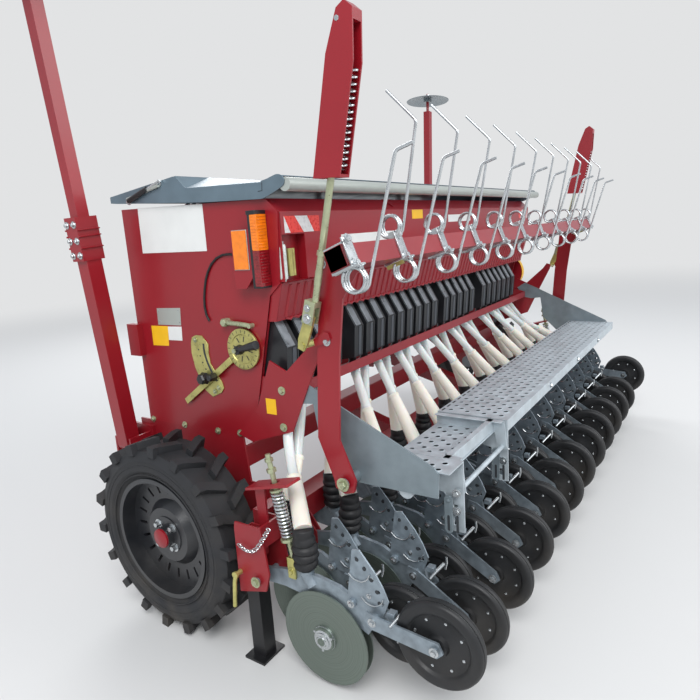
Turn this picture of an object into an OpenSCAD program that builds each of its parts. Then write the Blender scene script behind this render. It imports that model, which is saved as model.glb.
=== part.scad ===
// Seed drill for a three-point linkage, 25 rows, with disc coulters,
// press wheels, a loading platform and a tine harrow raised for transport.
// X points to the machine's right, Y forwards, Z up, in millimetres.
// The origin lies on the ground, in the middle of the machine's length and width.

/* [Rows] */
// Distance between neighbouring seed rows
row_pitch = 120; // [115:1:125]
// Distance between the rear and the front coulters, along the machine
row_stagger = 150; // [140:1:160]
// Height of the coulter pivots above the ground
pivot_z = 300; // [290:1:310]
// Place of the rear coulters' pivots along the machine
pivot_y = -130; // [-135:1:-125]

/* [Discs and press wheels] */
// Diameter of a coulter disc
disc_d = 292; // [280:1:300]
// Thickness of a coulter disc
disc_t = 4; // [3:0.5:5]
// Diameter of a press wheel
press_d = 245; // [235:1:250]
// Width of a press wheel
press_w = 38; // [30:1:42]
// Diameter of the pin that a press wheel turns on
press_pin_d = 16; // [12:1:20]

/* [Ground wheels] */
// Distance between the middles of the two ground wheels
track = 2856; // [2840:1:2870]
// Outer diameter of the tyre over its lugs
tyre_d = 670; // [650:1:680]
// Width of the tyre
tyre_w = 170; // [150:1:175]
// Height of a lug above the tread
lug_h = 22; // [15:1:28]
// Number of lugs on each side of the tread
lug_n = 18; // [14:1:20]
// Outer diameter of the rim's flange
rim_d = 428; // [410:1:440]
// Place of the wheels' axle along the machine
axle_y = 293; // [290:1:300]
// Diameter of the stub axles
axle_d = 45; // [40:1:50]

/* [Hopper] */
// Distance from the middle to the outer face of an end plate
side_x = 1250; // [1245:1:1252]
// Thickness of an end plate
end_t = 5; // [3:0.5:6]
// Wall of the hopper
wall_t = 3; // [2:0.5:4]
// Height of the hopper's lower edge above the ground
hopper_z = 640; // [636:1:644]
// Height of the hopper's rim above the ground
rim_z = 1437; // [1430:1:1445]
// Place of the hopper's front wall
hopper_front = 600; // [595:1:604]

/* [Metering] */
// Distance between neighbouring metering units
unit_pitch = 84; // [80:1:86]
// Width of a metering unit
unit_w = 60; // [50:1:66]
// Diameter of the shaft through the metering units
meter_shaft_d = 16; // [12:1:20]

/* [Seed tubes] */
// Outer diameter of the upper, thinner part of a seed tube
tube_top_d = 28; // [24:1:32]
// Outer diameter of the lower part of a seed tube
tube_low_d = 42; // [38:1:46]
// Outer diameter of a rubber bellows
bellows_d = 60; // [54:1:64]

/* [Platform] */
// Height of the walking surface above the ground
deck_z = 645; // [640:1:650]
// Depth of the walking surface, from its front to its rear edge
deck_l = 262; // [250:1:270]
// Thickness of the platform's sheet
sheet_t = 4; // [3:0.5:5]
// Width of the folded ladder
ladder_w = 385; // [360:1:400]

/* [Harrow] */
// Width of the harrow's square bar
bar_w = 56; // [50:1:60]
// Length of the harrow's bar
bar_l = 2854; // [2840:1:2870]
// Distance between neighbouring tine clamps
tine_pitch = 284; // [280:1:286]
// Diameter of the tine wire
tine_d = 9; // [7:0.5:10]
// Mean diameter of a tine's coil
coil_d = 62; // [56:1:66]

/* [Markers] */
// Distance from the middle to a marker arm
marker_x = 1330; // [1325:1:1335]
// Side of the square marker pole
pole_w = 58; // [50:1:60]
// Diameter of a marker disc
marker_disc_d = 300; // [280:1:320]

/* [Linkage] */
// Distance between the middles of the lower linkage pins
lower_span = 825; // [800:1:850]
// Diameter of the bores for the lower linkage pins
lower_bore_d = 28.5; // [22:0.5:36]
// Diameter of the bore for the upper linkage pin
upper_bore_d = 25.5; // [19:0.5:32]
// Height of the upper pin above the lower pins
mast_h = 610; // [580:1:640]

/* [Parking stands] */
// Side of the square parking leg
leg_w = 50; // [40:1:54]

/* [Hidden] */
$fn = 48;

red = "firebrick";
zinc = "lightslategray";
steel = "slategray";
pale = "silver";
white = "whitesmoke";
black = "dimgray";
yellow = "darkkhaki";

// Play of a turning piece on its pin, on the diameter
run_play = 0.1;
// Play of a fixed pin in its bore, on the diameter
seat_play = 0.02;
// Gap between a piece that moves and one that stands still
run_gap = 6;
// Number of seed rows
rows = 25;

// Middle of row i, counted from the left
function row_x(i) = (i - (rows - 1) / 2) * row_pitch;
// Shift of row i towards the front: the even rows are the rear ones
function row_y(i) = i % 2 == 0 ? 0 : row_stagger;
function sgn(v) = v < 0 ? -1 : 1;

rear_rows = [for (i = [0:2:rows - 1]) i];
front_rows = [for (i = [1:2:rows - 2]) i];
inner_rows = [for (i = [2:2:rows - 3]) i];
outer_rows = [0, rows - 1];
outer_x = -row_x(0);

// Coulter: places behind and below the pivot
disc_y = -212;
disc_z = -140;
press_y = -550;
press_z = -113;
outer_press_y = -572;
outer_press_z = -31;
boot_y = -166;
boot_z = 57;
bellows_y = -153;
bellows_z = 185;
pivot_pin_d = 20;
hub_pin_d = 24;
body_t = 12;
disc_side = body_t / 2 + run_gap + disc_t / 2;
arm_side = press_w / 2 + run_gap;
arm_t = 6;
lug_gap = 8;
lug_t = 5;

// Ground wheel
wheel_x = track / 2;
wheel_z = tyre_d / 2;
tread_r = wheel_z - lug_h;
rim_half = tyre_w / 2 - 9;
bead_r = rim_d / 2 - 8;
axle_end = wheel_x + 50;

// Frame
side_t = 8;
beam_w = 100;
front_beam_y = hopper_front - 40;
front_beam_z = hopper_z - 120;
beam_y = pivot_y + 35;
beam_z = pivot_z + 50;
beam_s = 80;
marker_y = hopper_front + 42;
marker_z = hopper_z - 75;
marker_pin_d = 25;
hitch_y = 796;
hitch_z = 500;
hitch_r = 29;
mast_y = 760;
out_y = pivot_y - 12;
out_z = pivot_z + 96;
plate_out = outer_x + 42;
plate_in = outer_x - 40;
plate_t = 6;
out_front = axle_y - wheel_z - 9;
tube_y1 = out_front;
tube_y0 = pivot_y + row_stagger + bellows_y + bellows_d / 2 + 6;

// Parking stand
leg_y = out_front - 4 - leg_w / 2;
leg_top = 390;
foot_t = 8;
stand_pin_d = 14;

// Hopper
inner_x = side_x - end_t;
rear_y = -140;
floor_z = 1046;
plate_top_y = -131;

// Metering
unit_groups = [[-1231, 4], [-834, 9], [-30, 5], [480, 7]];
unit_x = [for (g = unit_groups) for (k = [0:g[1] - 1]) g[0] + k * unit_pitch + 30];
shaft_y = 56;
shaft_z = 954;
spout_y = -66;
rail_z = 800;
rail_t = 6;

// Platform and ladder
deck_front = -395;
deck_rear = deck_front - deck_l;
deck_x0 = -759;
tube_y = -520;
tube_z = deck_z - 77;
tube_d = 48;
arm_pin_y = -356;
arm_pin_z = 588;
ladder_x = deck_x0 - 6 - run_gap - ladder_w + 12;
ladder_pin_y = deck_rear + 17;
ladder_pin_z = deck_z - 95;
ladder_pin_d = 16;

// Harrow and struts
bar_y = -452;
bar_z = 1245;
bar_tilt = 20;
harrow_arm_x = bar_l / 2 - 119;
harrow_arm_t = 8;
arm_pin_d = 20;
coil_r = coil_d / 2;
tine_end_x = bar_l / 2 - 27;
function tine_x(i) = max(-tine_end_x, min(tine_end_x, (i - 5) * tine_pitch));
strut_x = bar_l / 2 - 82;
strut_y = -297;
strut_z = 1081;
strut_pin_d = 14;
tip_y = -262;
tip_z = 1000;
tip_pin_d = 20;

// Lid
lid_x = side_x + 12;
lid_t = 3;
hinge_y = hopper_front + 20;
hinge_z = rim_z + 16;
hinge_d = 12;
hinge_xs = [-900, 0, 900];

// Lean of the raised marker arms
marker_lean = 4;
marker_disc_h = 1640;

// Round rod from point p to point q, turned on its axis so that its seam lies to the side
module rod(p, q, d) {
    v = q - p;
    h = norm(v);
    translate(p)
        rotate([0, acos(v[2] / h), atan2(v[1], v[0])])
            rotate([0, 0, 60])
                cylinder(h = h, d = d);
}

// Plate of thickness t from x on, its outline given in Y and Z
module plate_x(points, x, t) {
    translate([x, 0, 0])
        rotate([90, 0, 90])
            linear_extrude(t)
                polygon(points);
}

// Round bar along X, from x on
module bar_x(x, y, z, d, h) {
    translate([x, y, z])
        rotate([0, 90, 0])
            cylinder(h = h, d = d);
}

// Round bar along Y, from y on
module bar_y(x, y, z, d, h) {
    translate([x, y, z])
        rotate([-90, 0, 0])
            cylinder(h = h, d = d);
}

// The same piece on the right and on the left
module both_sides() {
    children();
    mirror([1, 0, 0])
        children();
}

// Solid of revolution about an axis along X, outline given as radius and X
module turn_x(points) {
    rotate([0, 90, 0])
        rotate_extrude()
            polygon(points);
}

// Frame with the headstock, the wheel brackets and the outriggers

side_outline = [
    [out_y, beam_z], [beam_y + beam_s, beam_z], [axle_y - 62, wheel_z - 45],
    [axle_y + 62, wheel_z - 45], [front_beam_y + beam_w, front_beam_z - 10],
    [front_beam_y + beam_w, hopper_z], [110, hopper_z], [95, out_z + beam_s],
    [out_y, out_z + beam_s]
];

outrigger_outline = [
    [out_front - 6, out_z + beam_s], [out_front - 2, out_z + beam_s - 20], [out_front, 240],
    [-160, 272], [-178, 330], [-160, out_z + beam_s]
];

module outrigger() {
    translate([side_x, tube_y0, out_z])
        cube([plate_in - side_x, tube_y1 - tube_y0, beam_s]);
    difference() {
        union() {
            plate_x(outrigger_outline, plate_out, plate_t);
            plate_x(outrigger_outline, plate_in - plate_t, plate_t);
        }
        bar_x(plate_in - 20, pivot_y, pivot_z, pivot_pin_d + seat_play, 160);
    }
    // Web behind the leg, with the carrier of the outer spring
    translate([plate_in, -158, out_z + 10])
        cube([plate_out - plate_in, 8, 70]);
    plate_x([[-150, out_z + 20], [-118, out_z + 60], [-112, 584], [-150, 594]], outer_x - 4, 8);
    difference() {
        plate_x([[-100, 578], [-100, 586], [-262, 628], [-265, 620]], outer_x - 30, 60);
        translate([outer_x, -192, 560])
            cylinder(h = 80, d = 30);
    }
    // Guide of the parking leg
    translate([outer_x, leg_y, 345])
        difference() {
            union() {
                translate([-leg_w / 2 - 6, -leg_w / 2 - 6, 0])
                    cube([leg_w + 12, leg_w + 10, 90]);
                translate([plate_in - outer_x, -10, 10])
                    cube([plate_out - plate_in, 20, 70]);
            }
            translate([-leg_w / 2 - 0.5, -leg_w / 2 - 0.5, -1])
                cube([leg_w + 1, leg_w + 1, 92]);
        }
    // Lugs of the front row's outer coulter
    for (s = [-1, 1])
        difference() {
            plate_x([
                [pivot_y + row_stagger + 18, pivot_z - 16], [pivot_y + row_stagger - 14, pivot_z - 18],
                [tube_y0 + 6, out_z], [tube_y1, out_z + 40], [pivot_y + row_stagger + 18, pivot_z + 26]
            ], row_x(rows - 2) + s * (lug_gap + lug_t / 2) - lug_t / 2, lug_t);
            bar_x(row_x(rows - 2) - 40, pivot_y + row_stagger, pivot_z, pivot_pin_d + seat_play, 80);
        }
}

module hitch_ears() {
    for (s = [-1, 1])
        difference() {
            plate_x([
                [front_beam_y + beam_w, hitch_z - hitch_r], [hitch_y, hitch_z - hitch_r],
                [hitch_y + hitch_r, hitch_z - 12], [hitch_y + hitch_r, hitch_z + 12],
                [hitch_y, hitch_z + hitch_r], [front_beam_y + beam_w, hopper_z - 4],
                [front_beam_y + 10, hopper_z - 4], [front_beam_y + 10, hitch_z - hitch_r]
            ], lower_span / 2 + s * 36 - 6, 12);
            bar_x(lower_span / 2 - 60, hitch_y, hitch_z, lower_bore_d, 120);
        }
}

module mast() {
    difference() {
        plate_x([
            [front_beam_y + 56, front_beam_z + beam_w], [front_beam_y + beam_w, front_beam_z + beam_w],
            [mast_y + 32, hitch_z + mast_h - 40], [mast_y + 32, hitch_z + mast_h + 20],
            [mast_y + 12, hitch_z + mast_h + 32], [mast_y - 32, hitch_z + mast_h + 32],
            [front_beam_y + 66, hopper_z + 60]
        ], 34, 12);
        bar_x(20, mast_y, hitch_z + mast_h, upper_bore_d, 40);
    }
    rod([lower_span / 2, front_beam_y + beam_w - 24, front_beam_z + beam_w - 16],
        [44, mast_y - 10, hitch_z + mast_h - 60], 42);
}

module front_beam() {
    translate([-side_x + side_t, front_beam_y, front_beam_z])
        cube([2 * (side_x - side_t), beam_w, beam_w]);
}

module frame() {
    color(red)
        front_beam();
}

// Side plates with the outriggers, the wheels' seats and the markers' hinges
module frame_sides() {
    color(red)
        both_sides() {
            difference() {
                plate_x(side_outline, side_x - side_t, side_t);
                bar_x(side_x - 20, axle_y, wheel_z, axle_d + seat_play, 40);
            }
            outrigger();
            // Ears of the marker's hinge
            difference() {
                union() {
                    translate([side_x, marker_y - 62, marker_z - 50])
                        cube([12, 124, 104]);
                    for (s = [-1, 1])
                        translate([side_x, marker_y + s * 42 - 5, marker_z - 50])
                            cube([marker_x - side_x + 26, 10, 80]);
                }
                bar_y(marker_x, marker_y - 80, marker_z, marker_pin_d + seat_play, 160);
            }
            bar_y(marker_x, marker_y - 56, marker_z, marker_pin_d, 112);
            // Stop that the raised marker arm leans on
            translate([side_x, hopper_front - 30, 900])
                cube([26, 60, 120]);
        }
}

// Headstock that the tractor's linkage holds, set round the front beam
module headstock() {
    color(red)
        both_sides() {
            difference() {
                union() {
                    hitch_ears();
                    mast();
                }
                front_beam();
            }
            // Member between the beams
            plate_x([
                [beam_y + beam_s, beam_z + 4], [beam_y + beam_s, beam_z + beam_s],
                [front_beam_y, front_beam_z + beam_w - 4], [front_beam_y, front_beam_z + 6]
            ], lower_span / 2 - 30, 60);
        }
}

// Beam across the machine that carries the coulters between the side plates
module coulter_beam() {
    color(red) {
        translate([-side_x + side_t, beam_y, beam_z])
            cube([2 * (side_x - side_t), beam_s, beam_s]);
        for (i = [2:rows - 3])
            translate([row_x(i), 0, 0])
                mirror([0, i % 2, 0])
                    translate([0, i % 2 == 0 ? 0 : -2 * beam_y - beam_s, 0])
                        for (s = [-1, 1])
                            difference() {
                                plate_x([
                                    [pivot_y - 18, pivot_z - 16], [pivot_y + 14, pivot_z - 18],
                                    [beam_y + 36, beam_z], [beam_y, beam_z + 50],
                                    [pivot_y - 18, pivot_z + 26]
                                ], s * (lug_gap + lug_t / 2) - lug_t / 2, lug_t);
                                bar_x(-30, pivot_y, pivot_z, pivot_pin_d + seat_play, 60);
                            }
    }
}

module axles() {
    color(steel)
        both_sides() {
            bar_x(side_x - 40, axle_y, wheel_z, axle_d, axle_end - side_x + 40);
            bar_x(side_x, axle_y, wheel_z, 96, 12);
            bar_x(side_x - 40, axle_y, wheel_z, 80, 40 - side_t);
        }
}

// Hopper

hopper_outline = [
    [hopper_front, rim_z], [hopper_front, 1262], [-6, floor_z], [-84, floor_z], [-121, 1166],
    [rear_y, 1170], [rear_y, 1380], [-149, 1413], [-149, rim_z]
];

hopper_inside = [
    [hopper_front - wall_t, rim_z + 1], [hopper_front - wall_t, 1262 + wall_t],
    [-8, floor_z + wall_t], [-82, floor_z + wall_t], [-119 + wall_t, 1168],
    [rear_y + wall_t, 1173], [rear_y + wall_t, 1380], [-149 + wall_t, 1413], [-149 + wall_t, rim_z + 1]
];

module hopper() {
    color(red) {
        difference() {
            plate_x(hopper_outline, -inner_x, 2 * inner_x);
            plate_x(hopper_inside, -inner_x - 1, 2 * inner_x + 2);
            for (x = unit_x)
                translate([x - 18, -66, floor_z - 2])
                    cube([36, 40, wall_t + 4]);
        }
        // Lugs that carry the lid's hinge pins
        for (x = hinge_xs) {
            plate_x([
                [hopper_front, rim_z - 60], [hinge_y + 8, hinge_z - 10], [hinge_y + 8, hinge_z + 6],
                [hinge_y - 8, hinge_z + 6], [hopper_front, rim_z]
            ], x - 5, 10);
            bar_x(x - 30, hinge_y, hinge_z, hinge_d, 60);
        }
    }
}

end_outline = [
    [hopper_front, hopper_z], [hopper_front, rim_z], [-89, rim_z - 17], [plate_top_y, rim_z - 55],
    [-117, 1166], [-73, 1129], [25, 757], [115, hopper_z]
];

module end_plates() {
    color(red)
        both_sides()
            difference() {
                plate_x(end_outline, inner_x, end_t);
                bar_x(inner_x - 5, shaft_y, shaft_z, meter_shaft_d + seat_play, 20);
            }
}

gusset_outline = [
    [115, 654], [14, 762], [-54, 923], [-120, 892], [-227, 987], [-250, 1018], [-276, 1008],
    [-268, 980], [-202, 851], [-126, 695], [53, 634]
];

gusset_pad = [[115, 654], [14, 762], [-8, 815], [-30, 780], [-40, 700], [53, 642]];

module gussets() {
    color(red)
        both_sides() {
            difference() {
                plate_x(gusset_outline, side_x + 6, 6);
                bar_x(side_x, tip_y, tip_z, tip_pin_d + seat_play, 20);
            }
            plate_x(gusset_pad, side_x, 6);
        }
    // Pin in the gusset's tip with the lug that holds the strut's foot
    color(yellow)
        both_sides() {
            bar_x(side_x + 6, tip_y, tip_z, tip_pin_d, strut_x - side_x + 2);
            plate_x([
                [tip_y + 16, tip_z - 8], [tip_y + 12, tip_z + 20], [strut_y + 16, strut_z + 8],
                [strut_y, strut_z + 16], [strut_y - 16, strut_z], [tip_y - 18, tip_z + 4], [tip_y - 4, tip_z - 16]
            ], strut_x - 4, 8);
            bar_x(strut_x - 16, strut_y, strut_z, strut_pin_d, 32);
        }
}

// Metering

unit_outline = [
    [-60, floor_z - 4], [-106, 960], [-96, 841], [-35, 830], [64, 872], [88, 920], [88, 990],
    [30, floor_z], [-56, floor_z]
];

module metering_units() {
    color(black)
        for (x = unit_x) {
            difference() {
                plate_x(unit_outline, x - unit_w / 2, unit_w);
                bar_x(x - unit_w, shaft_y, shaft_z, meter_shaft_d + seat_play, 2 * unit_w);
            }
            translate([x, spout_y, rail_z + rail_t])
                cylinder(h = 40, d = 30);
        }
}

module unit_slides() {
    color(pale)
        for (x = unit_x)
            plate_x([[-60, floor_z - 4], [-106, 960], [-112, 964], [-68, floor_z]], x - unit_w / 2 + 8, unit_w - 16);
}

module metering_shaft() {
    color(steel)
        bar_x(-side_x - 4, shaft_y, shaft_z, meter_shaft_d, 2 * side_x + 8);
}

module outlet_rail() {
    color(red) {
        plate_x([[-112, rail_z], [-112, rail_z + 36], [-108, rail_z + 36], [-106, rail_z + rail_t],
            [-30, rail_z + rail_t], [-30, rail_z]], -inner_x, 2 * inner_x);
        // Ends that reach the hopper's end plates
        both_sides()
            plate_x([[-112, rail_z], [-112, rail_z + 36], [20, 870], [60, 870], [60, rail_z]], inner_x - 6, 6);
    }
}

// Seed tubes from the outlet rail down to the bellows on the coulters

function tube_top(i) = [unit_x[i], spout_y, rail_z];
function tube_low(i) = [row_x(i), pivot_y + row_y(i) + bellows_y, pivot_z + bellows_z + 20];
// Row i counted from the machine's nearer end
function end_row(i) = min(i, rows - 1 - i);
// Points where the outermost tube and its neighbour bend, below the hopper's ends
tube_bends = [[side_x + 2, -92, 640], [side_x - 14, -112, 590]];
function tube_bend(i) =
    let (b = tube_bends[end_row(i)])
    [sgn(row_x(i)) * b[0], b[1], b[2]];
// Place where the thick lower part ends
function tube_mid(i) =
    end_row(i) == 0 ? 0.5 * (tube_low(i) + tube_bend(i)) :
    end_row(i) == 1 ? tube_bend(i) :
    0.5 * (tube_low(i) + tube_top(i));

// Thin hose from p to q, run on a little at both ends
module hose(p, q) {
    v = (q - p) / norm(q - p);
    rod(p - 6 * v, q + 6 * v, tube_top_d, $fn = 32);
}

module seed_tube(i) {
    translate(tube_low(i) - [0, 0, 20])
        cylinder(h = 36, d = tube_low_d + 6, $fn = 32);
    rod(tube_low(i), tube_mid(i), tube_low_d, $fn = 32);
    if (end_row(i) == 0) {
        hose(tube_mid(i), tube_bend(i));
        hose(tube_bend(i), tube_top(i) + 0.2 * (tube_top(i) - tube_bend(i)));
    } else
        hose(tube_mid(i), tube_top(i) + 0.2 * (tube_top(i) - tube_mid(i)));
}

module seed_tubes() {
    color(white)
        for (i = [0:rows - 1])
            difference() {
                seed_tube(i);
                translate(tube_top(i) - [150, 150, 0])
                    cube([300, 300, 100]);
            }
}

// Rubber bellows, standing on the coulter's boot
bellows_h = bellows_z - boot_z;
function bellows_fold(k) = [
    [bellows_d / 2 - 7, k * bellows_h / 5 + 1], [bellows_d / 2, (k + 0.4) * bellows_h / 5],
    [bellows_d / 2, (k + 0.6) * bellows_h / 5], [bellows_d / 2 - 7, (k + 1) * bellows_h / 5 - 1]
];

module bellows() {
    color(black)
        for (i = [0:rows - 1])
            translate([row_x(i), pivot_y + row_y(i) + bellows_y, pivot_z + boot_z])
                rotate_extrude($fn = 32)
                    polygon(concat([[0, 0], [bellows_d / 2 - 7, 0]],
                        [for (k = [0:4]) for (p = bellows_fold(k)) p],
                        [[bellows_d / 2 - 7, bellows_h], [0, bellows_h]]));
}

// One coulter, its pivot at the origin

body_outline = [
    [18, -12], [16, 18], [-120, 46], [-200, 48], [-270, 38], [-340, 4], [-415, 0], [-422, -32],
    [-380, -42], [-359, -81], [-318, -64], [-262, -38], [-240, -150], [-184, -150], [-188, -32],
    [-70, -20], [0, -24]
];

fan_outline = [
    [-300, 20], [-325, 170], [-348, 175], [-390, 125], [-415, 85], [-432, 45], [-410, -15], [-340, 2]
];

fan_holes = [[-338, 148], [-362, 126], [-384, 98], [-402, 66], [-412, 34]];

module coulter_body(wheel_y, wheel_z) {
    color(zinc) {
        difference() {
            union() {
                plate_x(body_outline, -body_t / 2, body_t);
                bar_x(-body_t / 2, disc_y, disc_z, 64, body_t);
            }
            bar_x(-20, disc_y, disc_z, hub_pin_d + run_play, 40);
        }
        difference() {
            plate_x(fan_outline, -body_t / 2 - 5, 5);
            for (h = fan_holes)
                bar_x(-body_t, h[0], h[1], 12, body_t, $fn = 16);
        }
        bar_x(-body_t / 2 - 14, -317, 10, 26, 14, $fn = 24);
        // Boot that the seed drops through
        translate([0, bellows_y, 0]) {
            rod([0, 0, boot_z - 13], [0, -22, 12], 40);
            translate([0, 0, boot_z - 13])
                cylinder(h = 13, d = 44);
        }
        bar_x(-lug_gap - lug_t, 0, 0, pivot_pin_d, 2 * (lug_gap + lug_t));
        // Arm and axle of the press wheel
        plate_x([
            [-372, 12], [-406, 4], [wheel_y - 10, wheel_z + 22], [wheel_y - 22, wheel_z - 4],
            [wheel_y - 4, wheel_z - 22], [-382, -38], [-366, -16]
        ], -arm_side - arm_t, arm_t);
        bar_x(-arm_side - arm_t, -389, -16, 30, arm_side + arm_t, $fn = 24);
        bar_x(-arm_side - arm_t - 6, wheel_y, wheel_z, press_pin_d, arm_side + arm_t + press_w / 2 + 12, $fn = 32);
    }
}

module coulters_rear() {
    for (i = rear_rows)
        translate([row_x(i), pivot_y, pivot_z])
            if (i == 0 || i == rows - 1)
                coulter_body(outer_press_y, outer_press_z);
            else
                coulter_body(press_y, press_z);
    // Long pivot pins of the two outermost coulters
    color(steel)
        both_sides()
            bar_x(plate_in - plate_t - 4, pivot_y, pivot_z, pivot_pin_d, plate_out - plate_in + 2 * plate_t + 8);
}

module coulters_front() {
    for (i = front_rows)
        translate([row_x(i), pivot_y + row_stagger, pivot_z])
            coulter_body(press_y, press_z);
}

// Spring units that press the two outermost coulters down, each with a fork on the coulter's body
module outer_springs() {
    low = [outer_x, pivot_y - 106, pivot_z + 78];
    top = [outer_x, pivot_y - 62, pivot_z + 304];
    color(steel)
        both_sides() {
            rod(low, top + 0.4 * (top - low), 16, $fn = 24);
            rod(low + 0.3 * (top - low), low + 0.9 * (top - low), 40);
            rod(low + 0.24 * (top - low), low + 0.3 * (top - low), 48);
            rod(top + 0.16 * (top - low), top + 0.22 * (top - low), 40);
            difference() {
                translate(low - [13, 13, 60])
                    cube([26, 27, 66]);
                translate(low - [body_t / 2, 20, 70])
                    cube([body_t, 40, 50]);
            }
        }
}

// Discs of the coulters, their common axis along X

module coulter_discs(list) {
    color(zinc)
        for (i = list)
            translate([row_x(i), 0, 0]) {
                bar_x(-disc_side - disc_t / 2 - 20, 0, 0, hub_pin_d, 2 * disc_side + disc_t + 40);
                for (s = [-1, 1]) {
                    bar_x(s * disc_side - disc_t / 2, 0, 0, disc_d, disc_t, $fn = 96);
                    bar_x(s * (disc_side + disc_t / 2 + 5) - 5, 0, 0, 74, 10);
                    bar_x(s * (disc_side + disc_t / 2 + 13) - 5, 0, 0, 36, 10, $fn = 6);
                }
            }
}

module discs_rear() {
    translate([0, pivot_y + disc_y, pivot_z + disc_z])
        coulter_discs(rear_rows);
}

module discs_front() {
    translate([0, pivot_y + row_stagger + disc_y, pivot_z + disc_z])
        coulter_discs(front_rows);
}

press_outline = [
    [(press_pin_d + run_play) / 2, -press_w / 2], [26, -press_w / 2], [30, -6], [press_d / 2 - 36, -6],
    [press_d / 2 - 30, -press_w / 2 + 4], [press_d / 2 - 8, -press_w / 2], [press_d / 2 - 2, -press_w / 2 + 8],
    [press_d / 2, 0], [press_d / 2 - 2, press_w / 2 - 8], [press_d / 2 - 8, press_w / 2],
    [press_d / 2 - 30, press_w / 2 - 4], [press_d / 2 - 36, 6], [30, 6], [26, press_w / 2],
    [(press_pin_d + run_play) / 2, press_w / 2]
];

module press_wheels(list, y, z) {
    color(black)
        for (i = list)
            translate([row_x(i), y, z])
                turn_x(press_outline, $fn = 64);
}

module press_wheels_outer() {
    press_wheels(outer_rows, pivot_y + outer_press_y, pivot_z + outer_press_z);
}

module press_wheels_rear() {
    press_wheels(inner_rows, pivot_y + press_y, pivot_z + press_z);
}

module press_wheels_front() {
    press_wheels(front_rows, pivot_y + row_stagger + press_y, pivot_z + press_z);
}

// Ground wheels, their middle at the origin, the outer side at +X

tyre_outline = [
    [bead_r, -rim_half + 8], [bead_r + 14, -rim_half + 8], [bead_r + 40, -tyre_w / 2],
    [tread_r - 34, -tyre_w / 2], [tread_r - 5, -tyre_w / 2 + 14], [tread_r, 0],
    [tread_r - 5, tyre_w / 2 - 14], [tread_r - 34, tyre_w / 2], [bead_r + 40, tyre_w / 2],
    [bead_r + 14, rim_half - 8], [bead_r, rim_half - 8]
];

module tyre() {
    color(black) {
        turn_x(tyre_outline, $fn = 72);
        intersection() {
            for (s = [0, 1])
                mirror([s, 0, 0])
                    for (k = [0:lug_n - 1])
                        rotate([(k + s / 2) * 360 / lug_n - 90, 0, 0])
                            translate([0, 0, tread_r - 16])
                                linear_extrude(lug_h + 24)
                                    polygon([
                                        [-4, -22], [-4, 8], [tyre_w / 2 - 22, 44],
                                        [tyre_w / 2, 46], [tyre_w / 2, 16], [tyre_w / 2 - 22, 12]
                                    ]);
            bar_x(-tyre_w / 2, 0, 0, tyre_d, tyre_w, $fn = 96);
        }
    }
}

rim_outline = [
    [bead_r - 8, -rim_half], [bead_r + 8, -rim_half], [bead_r + 8, -rim_half + 8], [bead_r, -rim_half + 8],
    [bead_r, rim_half - 8], [bead_r + 8, rim_half - 8], [bead_r + 8, rim_half], [bead_r - 8, rim_half],
    [bead_r - 8, 24], [120, 16], [96, 42], [60, 42], [60, 34], [90, 34], [114, 6], [bead_r - 8, 12]
];

module rim() {
    color(black)
        difference() {
            turn_x(rim_outline, $fn = 72);
            for (k = [0:19])
                rotate([k * 18, 0, 0])
                    translate([0, -5, 140])
                        cube([60, 10, 34]);
        }
    color(steel)
        difference() {
            union() {
                bar_x(side_x + 12 + run_gap - wheel_x, 0, 0, 120, 34 - side_x - 12 - run_gap + wheel_x);
                bar_x(34, 0, 0, 76, 34);
            }
            bar_x(-wheel_x, 0, 0, axle_d + run_play, 50 + run_gap + wheel_x);
        }
}

module wheel_place() {
    translate([wheel_x, axle_y, wheel_z])
        children();
}

// Platform

module platform() {
    color(pale) {
        translate([deck_x0, deck_rear, deck_z - sheet_t])
            cube([side_x - deck_x0, deck_l, sheet_t]);
        for (y = [deck_rear, deck_front - 4])
            translate([deck_x0, y, deck_z - 40])
                cube([side_x - deck_x0, 4, 40]);
        bar_x(-side_x, tube_y, tube_z, tube_d, 2 * side_x);
        for (x = [deck_x0 + 30, -250, 250, 740, side_x - 40])
            plate_x([
                [deck_rear + 4, deck_z - sheet_t], [deck_rear + 4, deck_z - 30], [tube_y - 24, tube_z],
                [tube_y + 24, tube_z], [deck_front - 4, deck_z - 30], [deck_front - 4, deck_z - sheet_t]
            ], x, 6);
        // Plates that hold the ladder
        for (x = [ladder_x - run_gap - 6, deck_x0 - 6])
            difference() {
                plate_x([
                    [deck_rear, 421], [deck_rear, deck_z], [deck_rear + 58, deck_z], [deck_rear + 62, tube_z + 24],
                    [tube_y + 10, tube_z + 22], [tube_y + 10, tube_z - 10], [deck_rear + 58, tube_z - 30],
                    [deck_rear + 58, 421]
                ], x, 6);
                bar_x(x - 5, ladder_pin_y, ladder_pin_z, ladder_pin_d + run_play, 20);
                for (z = [440, 480])
                    translate([x - 5, deck_rear + 20, z])
                        cube([20, 14, 26]);
            }
        // Sheet between the near side plate and the ladder's plate
        translate([-side_x, deck_rear, deck_z - sheet_t])
            cube([ladder_x - run_gap - 6 + side_x, deck_l, sheet_t]);
    }
}

side_plate_outline = [
    [-623, 567], [-627, 639], [-613, 657], [-306, 802], [-203, 852], [-110, 893], [-60, 862],
    [-100, 800], [-150, 790], [-212, 796], [-231, 666], [-334, 566]
];

module platform_sides() {
    color(pale)
        both_sides() {
            plate_x(side_plate_outline, side_x, 6);
            bar_x(side_x + 6, arm_pin_y, arm_pin_z, 34, harrow_arm_x - side_x - 6 - run_gap);
            bar_x(side_x + 6, arm_pin_y, arm_pin_z, arm_pin_d, harrow_arm_x + harrow_arm_t + 14 - side_x - 6);
            bar_x(harrow_arm_x + harrow_arm_t + run_gap, arm_pin_y, arm_pin_z, 34, 8);
        }
}

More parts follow.
